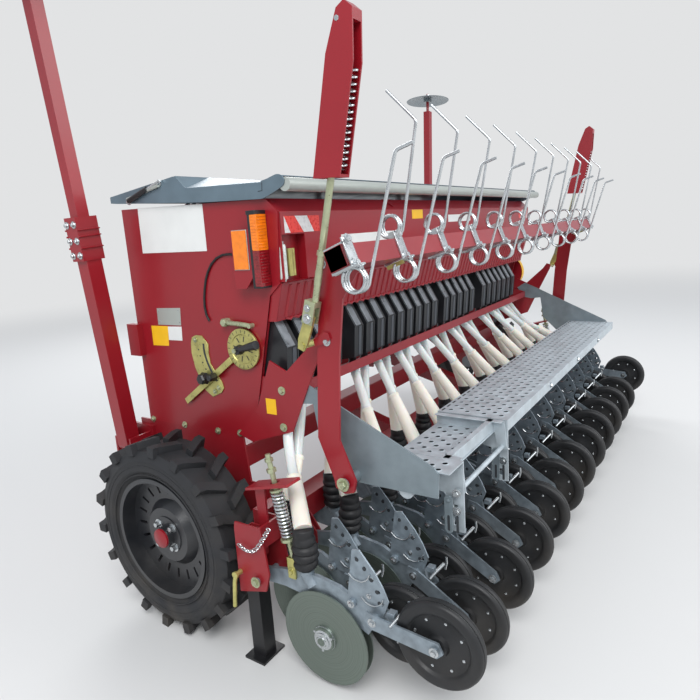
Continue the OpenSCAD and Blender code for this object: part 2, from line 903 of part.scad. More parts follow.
// Folded ladder: it turns up and over to the rear about the pins in the platform's plates
module ladder() {
    color(pale) {
        for (x = [ladder_x, ladder_x + ladder_w - 17])
            plate_x([
                [deck_front - 4, deck_z - 44], [deck_front - 4, deck_z - 4], [deck_rear + 8, deck_z - 4],
                [ladder_pin_y - 18, ladder_pin_z - 6], [ladder_pin_y, ladder_pin_z - 18],
                [ladder_pin_y + 18, ladder_pin_z], [ladder_pin_y + 26, deck_z - 44]
            ], x, 5);
        translate([ladder_x, ladder_pin_y + 26, deck_z - 44])
            cube([ladder_w - 12, deck_front - 4 - ladder_pin_y - 26, 4]);
        bar_x(ladder_x - run_gap - 8, ladder_pin_y, ladder_pin_z, ladder_pin_d, ladder_w - 12 + 2 * run_gap + 16);
    }
}

// Lamps on the hopper's ends
module lamps() {
    color("darkorange")
        both_sides() {
            translate([side_x, 11, 1211])
                cube([6, 48, 123]);
            translate([side_x, -61, 1270])
                cube([44, 49, 108]);
        }
    color("darkred")
        both_sides()
            translate([side_x, -61, 1160])
                cube([44, 49, 110]);
}

// The cable's middle line on the end plate, in Y and Z
cable_path = [
    [59.5, 1259], [80, 1262], [110, 1260], [140, 1250], [165, 1232], [185, 1208], [200, 1180],
    [210, 1150], [217, 1120], [220, 1090], [216, 1062], [205, 1042]
];
cable_d = 8;
cable_sides = 10;

// Ring of points round the cable's point k
function cable_ring(k) =
    let (
        last = len(cable_path) - 1,
        v = cable_path[min(k + 1, last)] - cable_path[max(k - 1, 0)],
        n = [-v[1], v[0]] / norm(v)
    )
    [for (j = [0:cable_sides - 1])
        let (c = cable_d / 2 * cos(j * 360 / cable_sides), u = cable_d / 2 * sin(j * 360 / cable_sides))
        [-side_x - cable_d / 2 + c, cable_path[k][0] + u * n[0], cable_path[k][1] + u * n[1]]];

module lamp_cable() {
    last = len(cable_path) - 1;
    color(black)
        polyhedron(
            points = [for (k = [0:last]) for (p = cable_ring(k)) p],
            faces = concat(
                [[for (j = [cable_sides - 1:-1:0]) j]],
                [for (k = [0:last - 1]) for (j = [0:cable_sides - 1])
                    [k * cable_sides + j, k * cable_sides + (j + 1) % cable_sides,
                        (k + 1) * cable_sides + (j + 1) % cable_sides, (k + 1) * cable_sides + j]],
                [[for (j = [0:cable_sides - 1]) last * cable_sides + j]]
            )
        );
}

// Dial and lever that set the seed rate, on the left end plate
module setting_dial() {
    color(yellow) {
        bar_x(-side_x - 14, shaft_y, shaft_z, 125, 10);
        plate_x([[309, 986], [309, 900], [262, 800], [225, 780], [183, 820], [183, 986]], -side_x - 4, 4);
        rod([-side_x - 10, 363, 743], [-side_x - 10, 75, 940], 16, $fn = 24);
    }
    color(black) {
        rod([-side_x - 18, 56, 1000], [-side_x - 18, 56, 905], 14, $fn = 24);
        rod([-side_x - 18, 253, 839], [-side_x - 40, 253, 839], 30, $fn = 24);
    }
}

// Cover over the drive on the right end plate
module drive_cover() {
    color(red)
        bar_x(side_x + 12, 20, 965, 216, 40);
}

// Lid

module lid() {
    color(zinc) {
        plate_x([
            [635, 1475], [279, 1523], [-160, 1480], [-160, 1480 - lid_t], [279, 1523 - lid_t],
            [hinge_y + 11, 1475.5 - lid_t], [hinge_y + 11, 1462], [635, 1462]
        ], -lid_x, 2 * lid_x);
        both_sides() {
            plate_x([
                [635, 1475], [279, 1523], [-160, 1480], [-176, 1474], [-180, 1440], [-95, 1419], [598, 1458],
                [635, 1462]
            ], lid_x, 3);
        }
        for (x = hinge_xs)
            for (s = [-1, 1])
                difference() {
                    plate_x([[hinge_y - 12, 1480], [hinge_y - 12, hinge_z], [hinge_y - 6, hinge_z - 10],
                        [hinge_y + 6, hinge_z - 10], [hinge_y + 12, hinge_z], [hinge_y + 12, 1476]],
                        x + s * 17 - 3, 6);
                    bar_x(x - 40, hinge_y, hinge_z, hinge_d + run_play, 80);
                }
    }
}

module lid_edge() {
    color(pale)
        bar_x(-lid_x, -178, 1454, 40, 2 * lid_x);
    color(black)
        rod([-lid_x - 9, 529, 1468], [-lid_x - 9, 357, 1500], 12, $fn = 24);
}

// Harrow, folded up for transport

arm_outline = [
    [-320, 566], [-316, 592], [-268, 716], [-288, 965], [-308, 1120], [-318, 1215], [-340, 1252],
    [-428, 1282], [-470, 1226], [-440, 1200], [-388, 1130], [-364, 967], [-344, 716], [-392, 598],
    [-384, 562], [-352, 552]
];

module in_bar_frame() {
    translate([0, bar_y, bar_z])
        rotate([-bar_tilt, 0, 0])
            children();
}

module harrow_bar() {
    color(red) {
        in_bar_frame()
            translate([-bar_l / 2, -bar_w / 2, -bar_w / 2])
                cube([bar_l, bar_w, bar_w]);
        both_sides()
            difference() {
                plate_x(arm_outline, harrow_arm_x, harrow_arm_t);
                bar_x(harrow_arm_x - 5, arm_pin_y, arm_pin_z, arm_pin_d + run_play, 20);
            }
    }
    // Link that locks the arm to the gusset's tip, let go at the tip
    color(yellow)
        both_sides()
            plate_x([[-283, 1014], [-287, 994], [-330, 1006], [-342, 1020], [-336, 1036], [-322, 1038]],
                harrow_arm_x + harrow_arm_t, 6);
}

// Coil of three turns about an axis along X, its middle at the origin
module coil() {
    for (k = [-1:1])
        difference() {
            bar_x(k * (tine_d + 0.5) - tine_d / 2 + 0.5, 0, 0, coil_d + tine_d + 1, tine_d - 1, $fn = 32);
            bar_x(-2 * tine_d, 0, 0, coil_d - tine_d - 1, 4 * tine_d, $fn = 32);
        }
}

// Wire along a path given in Y and Z, each length run on a little to fill the bend
module wire(path) {
    for (k = [0:len(path) - 2]) {
        v = path[k + 1] - path[k];
        q = path[k + 1] + (k < len(path) - 2 ? 0.15 * tine_d / norm(v) : 0) * v;
        rod([0, path[k][0], path[k][1]], [0, q[0], q[1]], tine_d, $fn = 16);
    }
}

low_coil = [-491, 1190];
top_coil = [-450, 1314];

module harrow_tines() {
    color(steel)
        for (i = [0:10])
            translate([tine_x(i), 0, 0]) {
                in_bar_frame()
                    difference() {
                        translate([-22, -bar_w / 2 - 14, -bar_w / 2 - 7])
                            cube([44, bar_w + 21, bar_w + 14]);
                        translate([-30, -bar_w / 2, -bar_w / 2])
                            cube([60, bar_w, bar_w]);
                    }
                if (i < 10) {
                    translate([0, low_coil[0], low_coil[1]])
                        coil();
                    wire([[low_coil[0] - coil_r, low_coil[1]], [-610, 1484], [-655, 1496]]);
                }
                if (i > 0) {
                    translate([0, top_coil[0], top_coil[1]])
                        coil();
                    wire([[top_coil[0] - coil_r, top_coil[1]], [-534, 1590], [-448, 1679]]);
                }
            }
}

// Spring strut of the harrow, hinged to the lug on the gusset and let go at the harrow's bar
module strut() {
    color(red)
        difference() {
            plate_x([
                [-358, 1447], [-422, 1730], [-460, 1822], [-483, 1835], [-505, 1815], [-499, 1702], [-440, 1443]
            ], strut_x - 22, 44);
            plate_x([
                [-366, 1455], [-428, 1728], [-455, 1790], [-520, 1790], [-510, 1700], [-460, 1449]
            ], strut_x - 17, 34);
        }
    color(yellow) {
        rod([strut_x, -315, 1112], [strut_x, -400, 1450], 18, $fn = 24);
        difference() {
            translate([strut_x, strut_y, strut_z])
                rotate([16, 0, 0])
                    translate([-15, -18, -16])
                        cube([30, 36, 66]);
            translate([strut_x, strut_y, strut_z])
                rotate([16, 0, 0])
                    translate([-4 - run_gap, -30, -30])
                        cube([8 + 2 * run_gap, 60, 64]);
            bar_x(strut_x - 30, strut_y, strut_z, strut_pin_d + run_play, 60);
        }
    }
    color(steel)
        rod([strut_x, -404, 1456], [strut_x, -462, 1690], 30);
}

// Parking stand, its leg sliding in the outrigger's guide
module stand() {
    color(black)
        translate([outer_x, leg_y, 0])
            union() {
                translate([-leg_w / 2, -leg_w / 2, 0])
                    cube([leg_w, leg_w, leg_top]);
                translate([-50, -40, 0])
                    cube([100, 80, foot_t]);
            }
}

// Marker arm, upright, its hinge at the origin and the outside at +X
module marker_arm() {
    color(red) {
        difference() {
            union() {
                translate([-pole_w / 2, -pole_w / 2, 0])
                    cube([pole_w, pole_w, 705]);
                bar_y(0, -pole_w / 2, 0, pole_w, pole_w);
            }
            bar_y(0, -60, 0, marker_pin_d + run_play, 120);
        }
        translate([-42, -pole_w / 2 - 3, 705])
            cube([84, pole_w + 6, 150]);
        translate([-22, -22, 855])
            cube([44, 44, marker_disc_h - 950]);
        translate([-14, pole_w / 2 + 16, 60])
            cube([28, 8, 640]);
        for (z = [60, 357, 680])
            translate([-14, pole_w / 2, z])
                cube([28, 16, 20]);
    }
    color(steel)
        translate([0, 0, marker_disc_h - 95])
            cylinder(h = 120, d = 20);
}

module marker_place() {
    translate([marker_x, marker_y, marker_z])
        rotate([0, marker_lean, 0])
            children();
}

module marker_disc() {
    color(zinc)
        translate([0, 0, marker_disc_h])
            rotate_extrude($fn = 64)
                polygon([
                    [(20 + run_play) / 2, -30], [28, -30], [28, -4], [marker_disc_d / 2 - 4, -26],
                    [marker_disc_d / 2, -22], [40, 6], [(20 + run_play) / 2, 6]
                ]);
}

frame();
frame_sides();
headstock();
coulter_beam();
axles();
hopper();
end_plates();
gussets();
metering_units();
unit_slides();
metering_shaft();
outlet_rail();
seed_tubes();
bellows();
coulters_rear();
coulters_front();
outer_springs();
platform();
platform_sides();
lamps();
lamp_cable();
setting_dial();
drive_cover();
lid();
lid_edge();
mirror([1, 0, 0]) wheel_place() tyre();  // tyre_left
wheel_place() tyre();  // tyre_right
mirror([1, 0, 0]) wheel_place() rim();  // rim_left
wheel_place() rim();  // rim_right
discs_rear();
discs_front();
press_wheels_outer();
press_wheels_rear();
press_wheels_front();
harrow_bar();
harrow_tines();
mirror([1, 0, 0]) strut();  // strut_left
strut();  // strut_right
ladder();
mirror([1, 0, 0]) stand();  // stand_left
stand();  // stand_right
mirror([1, 0, 0]) marker_place() marker_arm();  // marker_arm_left
marker_place() marker_arm();  // marker_arm_right
mirror([1, 0, 0]) marker_place() marker_disc();  // marker_disc_left
marker_place() marker_disc();  // marker_disc_right
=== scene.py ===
import math

import bmesh
import bpy
from mathutils import Matrix, Vector


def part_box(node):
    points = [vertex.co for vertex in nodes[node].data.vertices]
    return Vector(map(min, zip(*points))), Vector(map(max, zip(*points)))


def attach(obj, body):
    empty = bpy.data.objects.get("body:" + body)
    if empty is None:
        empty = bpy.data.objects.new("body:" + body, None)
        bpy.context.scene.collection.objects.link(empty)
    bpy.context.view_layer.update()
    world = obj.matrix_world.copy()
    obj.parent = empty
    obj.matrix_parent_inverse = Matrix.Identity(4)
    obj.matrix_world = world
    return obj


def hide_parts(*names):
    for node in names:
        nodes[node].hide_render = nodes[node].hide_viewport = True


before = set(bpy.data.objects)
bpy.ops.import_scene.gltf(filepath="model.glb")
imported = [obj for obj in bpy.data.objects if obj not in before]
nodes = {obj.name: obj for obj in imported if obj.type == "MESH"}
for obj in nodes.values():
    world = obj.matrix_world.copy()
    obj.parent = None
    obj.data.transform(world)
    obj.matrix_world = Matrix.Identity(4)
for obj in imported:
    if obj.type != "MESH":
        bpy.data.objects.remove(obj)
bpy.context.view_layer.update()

MM = 0.001
TURN = 2 * math.pi

# Sides and directions of the machine
SIDES = ((-1, "left"), (1, "right"))
RIGHT = (1, 0, 0)
LEFT = (-1, 0, 0)
AHEAD = (0, 1, 0)
BACK = (0, -1, 0)
UP = (0, 0, 1)


def box_mm(node):
    """Lowest and highest corner of a CAD node, in millimetres."""
    low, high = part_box(node)
    return low / MM, high / MM


def middle(node):
    """Centre of a CAD node."""
    low, high = box_mm(node)
    return (low + high) / 2


def half_height(node):
    """Half the height of a CAD node, which is the radius of a wheel or disc."""
    low, high = box_mm(node)
    return (high.z - low.z) / 2


def vec(x, y, z):
    return Vector((x, y, z))


def around(count, first=0):
    """Angles of so many points spread evenly round a circle."""
    return [first + k * TURN / count for k in range(count)]


def polar(r, angle):
    """Point in a plane at a radius and an angle."""
    return r * math.cos(angle), r * math.sin(angle)


# Sizes and places read from the frame
SIDE = box_mm("end_plates")[1].x
INNER_X = SIDE - 5
RIM_Z = box_mm("end_plates")[1].z
GUSSET = SIDE + 12
PLATE_OUT = box_mm("outer_springs")[1].x + 24
WHEEL = middle("tyre_right")
TYRE_R = half_height("tyre_right")
DISC_REAR = middle("discs_rear")
DISC_FRONT = middle("discs_front")
PRESS_OUTER = middle("press_wheels_outer")
PRESS_REAR = middle("press_wheels_rear")
PRESS_FRONT = middle("press_wheels_front")
PRESS_R = half_height("press_wheels_rear")
DECK_Z = box_mm("platform")[1].z
DECK_REAR = box_mm("platform")[0].y
LID_X = box_mm("lid")[1].x

# Sizes of the machine that the frame's boxes don't give. UNIT_GROUPS holds each group's start and count.
ROWS = 25
ROW_PITCH = 120
PIVOT = vec(0, -130, 300)
STAGGER = 150
DECK_FRONT = -395
DECK_LEFT = -759
STRUT = SIDE + 95
STRUT_LOW = 1420
HARROW_ARM = SIDE + 58
SHAFT = vec(0, 56, 954)
UNIT_GROUPS = [(-1231, 4), (-834, 9), (-30, 5), (480, 7)]
UNIT_PITCH = 84
UNIT_X = [x + k * UNIT_PITCH + 30 for x, count in UNIT_GROUPS for k in range(count)]
SPOUT_Y = -66
SPOUT_Z = 806
MARKER = vec(1330, 642, 565)
MARKER_LEAN = 4


def row_x(i):
    """Place of a row across the machine."""
    return (i - (ROWS - 1) / 2) * ROW_PITCH


def row_shift(i):
    """How far a row stands forward of the rear ones. Every second row does."""
    return 0 if i % 2 == 0 else STAGGER


# Camera, at the photograph's place and angle

CAMERA_AT = vec(-2610, -1274, 1313)
CAMERA_YAW = math.radians(56.04)
CAMERA_PITCH = math.radians(11.70)
CAMERA_ROLL = math.radians(-3.81)
CAMERA_LENS = 29.8


def make_camera():
    level = math.cos(CAMERA_PITCH)
    ahead = vec(math.sin(CAMERA_YAW) * level, math.cos(CAMERA_YAW) * level, -math.sin(CAMERA_PITCH))
    right = vec(math.cos(CAMERA_YAW), -math.sin(CAMERA_YAW), 0)
    up = right.cross(ahead)
    c, s = math.cos(CAMERA_ROLL), math.sin(CAMERA_ROLL)
    turned = Matrix((right * c + up * s, up * c - right * s, -ahead)).transposed()
    data = bpy.data.cameras.new("camera")
    data.lens = CAMERA_LENS
    data.sensor_width = 36
    data.clip_end = 200
    camera = bpy.data.objects.new("camera", data)
    camera.matrix_world = Matrix.Translation(CAMERA_AT * MM) @ turned.to_4x4()
    bpy.context.scene.collection.objects.link(camera)
    bpy.context.scene.camera = camera


# Materials

def srgb(r, g, b):
    """Linear colour from one given as 0 to 255."""
    def linear(c):
        c /= 255
        return c / 12.92 if c <= 0.04045 else ((c + 0.055) / 1.055) ** 2.4
    return (linear(r), linear(g), linear(b), 1)


def add_node(tree, kind, inputs=None, **settings):
    """Shader node with its settings, each input a value or a socket to link."""
    made = tree.nodes.new(kind)
    for name, value in settings.items():
        setattr(made, name, value)
    for name, value in (inputs or {}).items():
        if isinstance(value, bpy.types.NodeSocket):
            tree.links.new(value, made.inputs[name])
        else:
            made.inputs[name].default_value = value
    return made


class Finish:
    """A procedural material: a colour that varies a little, a roughness that varies, and a fine relief."""

    def __init__(self, name, colour, rough, metal=0, coat=0, coat_rough=0.03, milky=0, milky_depth=0.02):
        self.material = bpy.data.materials.new(name)
        self.material.use_nodes = True
        self.tree = self.material.node_tree
        self.inputs = self.tree.nodes["Principled BSDF"].inputs
        self.colour = srgb(*colour)
        self.rough = rough
        values = {"Base Color": self.colour, "Roughness": rough, "Metallic": metal, "Coat Weight": coat,
                  "Coat Roughness": coat_rough, "Subsurface Weight": milky, "Subsurface Scale": milky_depth}
        for socket, value in values.items():
            self.inputs[socket].default_value = value
        self.place = self.node("ShaderNodeTexCoord").outputs["Object"]

    def node(self, kind, inputs=None, **settings):
        return add_node(self.tree, kind, inputs, **settings)

    def link(self, socket, name):
        self.tree.links.new(socket, self.inputs[name])

    def noise(self, scale, detail, stretch=(1, 1, 1)):
        place = self.node("ShaderNodeMapping", {"Vector": self.place, "Scale": stretch}).outputs["Vector"]
        values = {"Vector": place, "Scale": scale, "Detail": detail}
        return self.node("ShaderNodeTexNoise", values).outputs["Fac"]

    def ranged(self, value, low, high, start=0.3, end=0.7):
        ends = {"Value": value, "From Min": start, "From Max": end, "To Min": low, "To Max": high}
        return self.node("ShaderNodeMapRange", ends).outputs["Result"]

    def paint(self, share, a, b):
        """Colour between a and b, each a colour or a socket."""
        mix = self.node("ShaderNodeMix", data_type="RGBA")
        self.tree.links.new(share, mix.inputs["Factor"])
        for value, socket in ((a, mix.inputs["A"]), (b, mix.inputs["B"])):
            if isinstance(value, tuple):
                socket.default_value = value
            else:
                self.tree.links.new(value, socket)
        self.painted = mix.outputs["Result"]
        self.link(self.painted, "Base Color")

    def shaded(self, share, light, dark):
        """Colour between a darker and a lighter shade of its own."""
        bright = tuple(min(1, c * light) for c in self.colour[:3]) + (1,)
        deep = tuple(c * dark for c in self.colour[:3]) + (1,)
        self.paint(self.ranged(share, 0, 1), deep, bright)

    def vary(self, scale, light=1.12, dark=0.85, rough=0.08):
        """Cloudy change of colour and roughness."""
        cloud = self.noise(scale, 4.0)
        self.shaded(cloud, light, dark)
        low, high = max(0.03, self.rough - rough), min(1, self.rough + rough)
        self.link(self.ranged(cloud, low, high), "Roughness")
        return self

    def dust(self, top, amount=0.5):
        """Dust that thins out upwards from the ground to the height top, in metres."""
        height = self.node("ShaderNodeSeparateXYZ", {"Vector": self.place}).outputs["Z"]
        patches = self.ranged(self.noise(9.0, 6.0), 0, 1, 0.35, 0.65)
        share = self.node("ShaderNodeMath", {0: self.ranged(height, amount, 0, 0, top), 1: patches},
                          operation="MULTIPLY")
        self.paint(share.outputs["Value"], self.painted, EARTH)
        return self

    def relief(self, scale, depth, stretch=(1, 1, 1)):
        """Fine bump of a depth in metres."""
        height = self.noise(scale, 2.0, stretch)
        bump = self.node("ShaderNodeBump", {"Strength": 0.6, "Distance": depth, "Height": height})
        self.link(bump.outputs["Normal"], "Normal")
        return self

    def rings(self, centre):
        """Turning marks round an axis along X, through a centre in millimetres."""
        axis = (0, centre.y * MM, centre.z * MM)
        kind = "ShaderNodeVectorMath"
        shift = self.node(kind, {0: self.place, 1: axis}, operation="SUBTRACT")
        flat = self.node(kind, {0: shift.outputs["Vector"], 1: (0, 1, 1)}, operation="MULTIPLY")
        length = self.node(kind, {0: flat.outputs["Vector"]}, operation="LENGTH")
        marks = self.node("ShaderNodeTexNoise", noise_dimensions="1D")
        marks.inputs["Scale"].default_value = RING_SCALE
        marks.inputs["Detail"].default_value = 4
        self.tree.links.new(length.outputs["Value"], marks.inputs["W"])
        self.shaded(marks.outputs["Fac"], 1.18, 0.8)
        self.link(self.ranged(marks.outputs["Fac"], self.rough - 0.08, self.rough + 0.1), "Roughness")
        return self


EARTH = srgb(122, 112, 98)
RING_SCALE = 420


def make_finishes():
    """All finishes, by the names that the pieces use."""
    return {
        "red": Finish("red_paint", (142, 19, 31), 0.36, coat=0.18, coat_rough=0.15)
            .vary(2.2, 1.1, 0.9, 0.06).relief(160, 0.00012),
        "red_frame": Finish("red_frame_paint", (140, 19, 31), 0.42, coat=0.12, coat_rough=0.2)
            .vary(3.5, 1.12, 0.86, 0.08).dust(0.55, 0.25).relief(160, 0.00015),
        "zinc": Finish("zinc_coating", (142, 154, 163), 0.42, 0.55)
            .vary(38, 1.16, 0.78, 0.12).dust(0.4, 0.3).relief(240, 0.0001),
        # Lighter copy of the galvanised sheet for the deck and ladder, painted light as if lit from above
        "deck": Finish("galvanized_sheet_painted_light", (184, 194, 200), 0.42, 0.35)
            .vary(24, 1.12, 0.86, 0.1).relief(300, 0.00008),
        # Darker copy of the same galvanised sheet for the platform's sides and the leg links, painted shade
        "side": Finish("galvanized_sheet_painted_shade", (128, 140, 146), 0.42, 0.4)
            .vary(20, 1.1, 0.88, 0.1).relief(300, 0.00008),
        "lid": Finish("lid_sheet", (104, 122, 133), 0.38, 0.4).vary(14, 1.1, 0.9, 0.08).relief(260, 0.00006),
        "disc_rear": Finish("rear_disc_steel", (120, 130, 122), 0.36, 0.8).rings(DISC_REAR),
        "disc_front": Finish("front_disc_steel", (120, 130, 122), 0.36, 0.8).rings(DISC_FRONT),
        "marker_disc": Finish("marker_disc_steel", (150, 158, 162), 0.35, 0.75).vary(30, 1.1, 0.85, 0.1),
        "bright": Finish("bright_steel", (196, 200, 202), 0.26, 0.9)
            .vary(22, 1.06, 0.88, 0.06).relief(300, 0.00001),
        "steel": Finish("plain_steel", (128, 132, 134), 0.42, 0.85).vary(40, 1.12, 0.8, 0.1),
        "yellow_zinc": Finish("yellow_zinc", (186, 180, 112), 0.34, 0.6)
            .vary(26, 1.2, 0.75, 0.12).relief(220, 0.00006),
        "green_zinc": Finish("green_zinc", (172, 178, 146), 0.32, 0.6)
            .vary(26, 1.15, 0.8, 0.1).relief(220, 0.00005),
        "tyre": Finish("tyre_rubber", (34, 35, 38), 0.68)
            .vary(12, 1.35, 0.8, 0.1).dust(0.62, 0.22).relief(130, 0.0004),
        "rubber": Finish("press_wheel_rubber", (27, 28, 30), 0.5)
            .vary(16, 1.3, 0.8, 0.1).dust(0.3, 0.2).relief(150, 0.0002),
        "bellows": Finish("bellows_rubber", (22, 22, 24), 0.55).vary(30, 1.4, 0.8, 0.08).relief(200, 0.0002),
        "rim": Finish("black_rim_paint", (32, 34, 38), 0.38, coat=0.3, coat_rough=0.2)
            .vary(9, 1.3, 0.8, 0.08).dust(0.5, 0.12).relief(200, 0.0001),
        "black": Finish("black_paint", (24, 24, 26), 0.42).vary(12, 1.3, 0.8, 0.08).relief(160, 0.0001),
        "plastic": Finish("black_plastic", (30, 31, 34), 0.36).vary(8, 1.25, 0.85, 0.08).relief(500, 0.00006),
        "slide": Finish("slide_sheet", (128, 133, 138), 0.4, 0.5)
            .vary(34, 1.2, 0.72, 0.14).relief(300, 0.00008),
        "strip": Finish("unit_strip", (70, 74, 80), 0.4).vary(30, 1.15, 0.85, 0.08),
        "tube": Finish("seed_tube_plastic", (236, 232, 220), 0.42, milky=0.25, milky_depth=0.02)
            .vary(7, 1.03, 0.93, 0.06).relief(90, 0.00015),
        "hose": Finish("hose_plastic", (216, 222, 220), 0.26, milky=0.3, milky_depth=0.03, coat=0.2)
            .vary(5, 1.03, 0.93, 0.05).relief(70, 0.0001),
        "amber": Finish("amber_lens", (240, 128, 14), 0.16, coat=0.4)
            .vary(50, 1.12, 0.85, 0.05).relief(420, 0.0004, (1, 1, 0.05)),
        "red_lens": Finish("red_lens", (128, 12, 22), 0.14, coat=0.5)
            .vary(50, 1.3, 0.7, 0.05).relief(420, 0.0004, (1, 1, 0.05)),
        "white": Finish("white_sheet", (222, 224, 222), 0.4).vary(10, 1.02, 0.95, 0.05),
        "label": Finish("silver_label", (176, 182, 176), 0.32, 0.4).vary(6, 1.04, 0.95, 0.04),
        "yellow": Finish("yellow_sheet", (240, 186, 22), 0.4).vary(20, 1.04, 0.94, 0.05),
        "stripe_red": Finish("reflective_red", (206, 52, 44), 0.3).vary(90, 1.15, 0.9, 0.08),
        "stripe_white": Finish("reflective_white", (206, 206, 206), 0.3).vary(90, 1.06, 0.88, 0.08),
        "glass": Finish("sight_glass", (196, 204, 200), 0.12, coat=0.5).vary(40, 1.1, 0.8, 0.05),
        # Painted shade: this dark finish fills holes, slots and slits as thin dark shapes, and the dial's
        # dark marks use it too
        "dark": Finish("hole_shade_and_dark_marks", (46, 50, 54), 0.7).vary(20, 1.2, 0.8, 0.1),
    }


# Shapes, in millimetres

class Shape:
    """Points and faces that become one piece."""

    def __init__(self):
        self.points = []
        self.faces = []

    def add(self, points, faces, matrix=None):
        base = len(self.points)
        self.points += [matrix @ Vector(p) if matrix else Vector(p) for p in points]
        self.faces += [[base + i for i in face] for face in faces]

    def rings(self, rings, closed=False, matrix=None):
        """Skin over rings of points, each ring with as many points as the others."""
        n = len(rings[0])
        faces = []
        for r in range(len(rings) if closed else len(rings) - 1):
            a, b = r * n, (r + 1) % len(rings) * n
            faces += [[a + k, a + (k + 1) % n, b + (k + 1) % n, b + k] for k in range(n)]
        if not closed:
            faces += [list(range(n))[::-1], [(len(rings) - 1) * n + k for k in range(n)]]
        self.add([p for ring in rings for p in ring], faces, matrix)

    def block(self, low, high, matrix=None):
        x0, y0, z0 = low
        x1, y1, z1 = high
        ring = [(x0, y0), (x1, y0), (x1, y1), (x0, y1)]
        self.rings([[(x, y, z0) for x, y in ring], [(x, y, z1) for x, y in ring]], matrix=matrix)

    def plate(self, outline, x0, x1, matrix=None):
        """Plate with its outline in Y and Z, from x0 to x1."""
        self.rings([[(x0, y, z) for y, z in outline], [(x1, y, z) for y, z in outline]], matrix=matrix)

    def turned(self, outline, at, direction, sides=24, closed=False):
        """Solid of revolution: its outline is radius and height along direction."""
        turn = facing(at, direction)
        rings = [[(*polar(r, a), h) for a in around(sides)] for r, h in outline]
        self.rings(rings, closed=closed, matrix=turn)

    def pin(self, r, length, at, direction, sides=24):
        """Round bar with flat ends."""
        self.turned([(0, 0), (r, 0), (r, length), (0, length)], at, direction, sides)

    def tube(self, path, radius, sides=10, closed=False):
        """Round wire along a path of points."""
        path = [Vector(p) for p in path]
        last = len(path) - 1
        side = None
        rings = []
        for i, p in enumerate(path):
            before = path[i - 1] if i or closed else p
            after = path[(i + 1) % len(path)] if i < last or closed else p
            ahead = (after - before).normalized()
            side = side or ahead.orthogonal()
            side = (side - ahead * side.dot(ahead)).normalized()
            other = ahead.cross(side)
            r = radius(i / last) if callable(radius) else radius
            rings.append([p + r * (side * math.cos(a) + other * math.sin(a)) for a in around(sides)])
        self.rings(rings, closed=closed)

    def bolt(self, at, direction, size=16, height=9, washer=True):
        """Hexagon bolt head on its washer."""
        if washer:
            self.pin(size * 0.95, 2.5, at, direction, 16)
        r = size * 0.58
        head = [(r, 0), (r, 2 + height * 0.8), (r * 0.86, 2 + height), (0, 2 + height)]
        self.turned(head, at, direction, 6)

    def rivet(self, at, direction, r=6, height=3):
        self.turned([(r, 0), (r * 0.9, height * 0.6), (r * 0.5, height), (0, height)], at, direction, 10)

    def mirrored(self):
        """The same shape and its mirror image on the machine's other side."""
        n = len(self.points)
        self.points += [vec(-p.x, p.y, p.z) for p in self.points]
        self.faces += [[n + i for i in face][::-1] for face in self.faces]
        return self


def shapes(count):
    """Empty shapes, one for each piece of a group."""
    return [Shape() for _ in range(count)]


def facing(at, direction):
    """Place with its Z axis along direction."""
    turn = Vector(direction).to_track_quat("Z", "Y").to_matrix().to_4x4()
    return Matrix.Translation(Vector(at)) @ turn


def about_x(at, degrees):
    """Place turned about an axis along X."""
    return Matrix.Translation(Vector(at)) @ Matrix.Rotation(math.radians(degrees), 4, "X")


def arc(centre, radius, start, end, steps):
    """Points in a plane on an arc, its angles in degrees."""
    points = [polar(radius, math.radians(start + (end - start) * k / steps)) for k in range(steps + 1)]
    return [(centre[0] + x, centre[1] + y) for x, y in points]


def rounded(points, radius, steps=5):
    """Path through points, in space or in a plane, with its corners rounded."""
    points = [Vector(p) for p in points]
    path = [points[0]]
    for a, b, c in zip(points, points[1:], points[2:]):
        cut = min(radius, (a - b).length / 2.1, (c - b).length / 2.1)
        start, end = b + (a - b).normalized() * cut, b + (c - b).normalized() * cut
        path += [start.lerp(b, t).lerp(b.lerp(end, t), t) for t in (k / steps for k in range(steps + 1))]
    return path + [points[-1]]


def helix(start, end, radius, turns, steps):
    """Path that winds from start to end."""
    start, end = Vector(start), Vector(end)
    turn = facing(start, end - start)
    length = (end - start).length
    count = int(turns * steps)
    return [turn @ vec(*polar(radius, k * TURN / steps), length * k / count) for k in range(count + 1)]


MERGE = 1e-6
BEVEL_ANGLE = math.radians(50)


def piece(name, shape, material, body="base", smooth=38, bevel=0.0):
    """Makes one Blender object of a shape, riding on a body. Edges under the angle smooth show no crease."""
    mesh = bpy.data.meshes.new(name)
    mesh.from_pydata([p * MM for p in shape.points], [], shape.faces)
    work = bmesh.new()
    work.from_mesh(mesh)
    bmesh.ops.remove_doubles(work, verts=work.verts, dist=MERGE)
    bmesh.ops.dissolve_degenerate(work, edges=work.edges, dist=MERGE)
    bmesh.ops.recalc_face_normals(work, faces=work.faces)
    for face in work.faces:
        face.smooth = True
    for edge in work.edges:
        edge.smooth = edge.calc_face_angle(math.pi) < math.radians(smooth)
    work.to_mesh(mesh)
    work.free()
    made = bpy.data.objects.new(name, mesh)
    bpy.context.scene.collection.objects.link(made)
    mesh.materials.append(materials[material])
    if bevel:
        edges = made.modifiers.new("bevel", "BEVEL")
        edges.width = bevel * MM
        edges.segments = 2
        edges.limit_method = "ANGLE"
        edges.angle_limit = BEVEL_ANGLE
    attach(made, body)
    return made


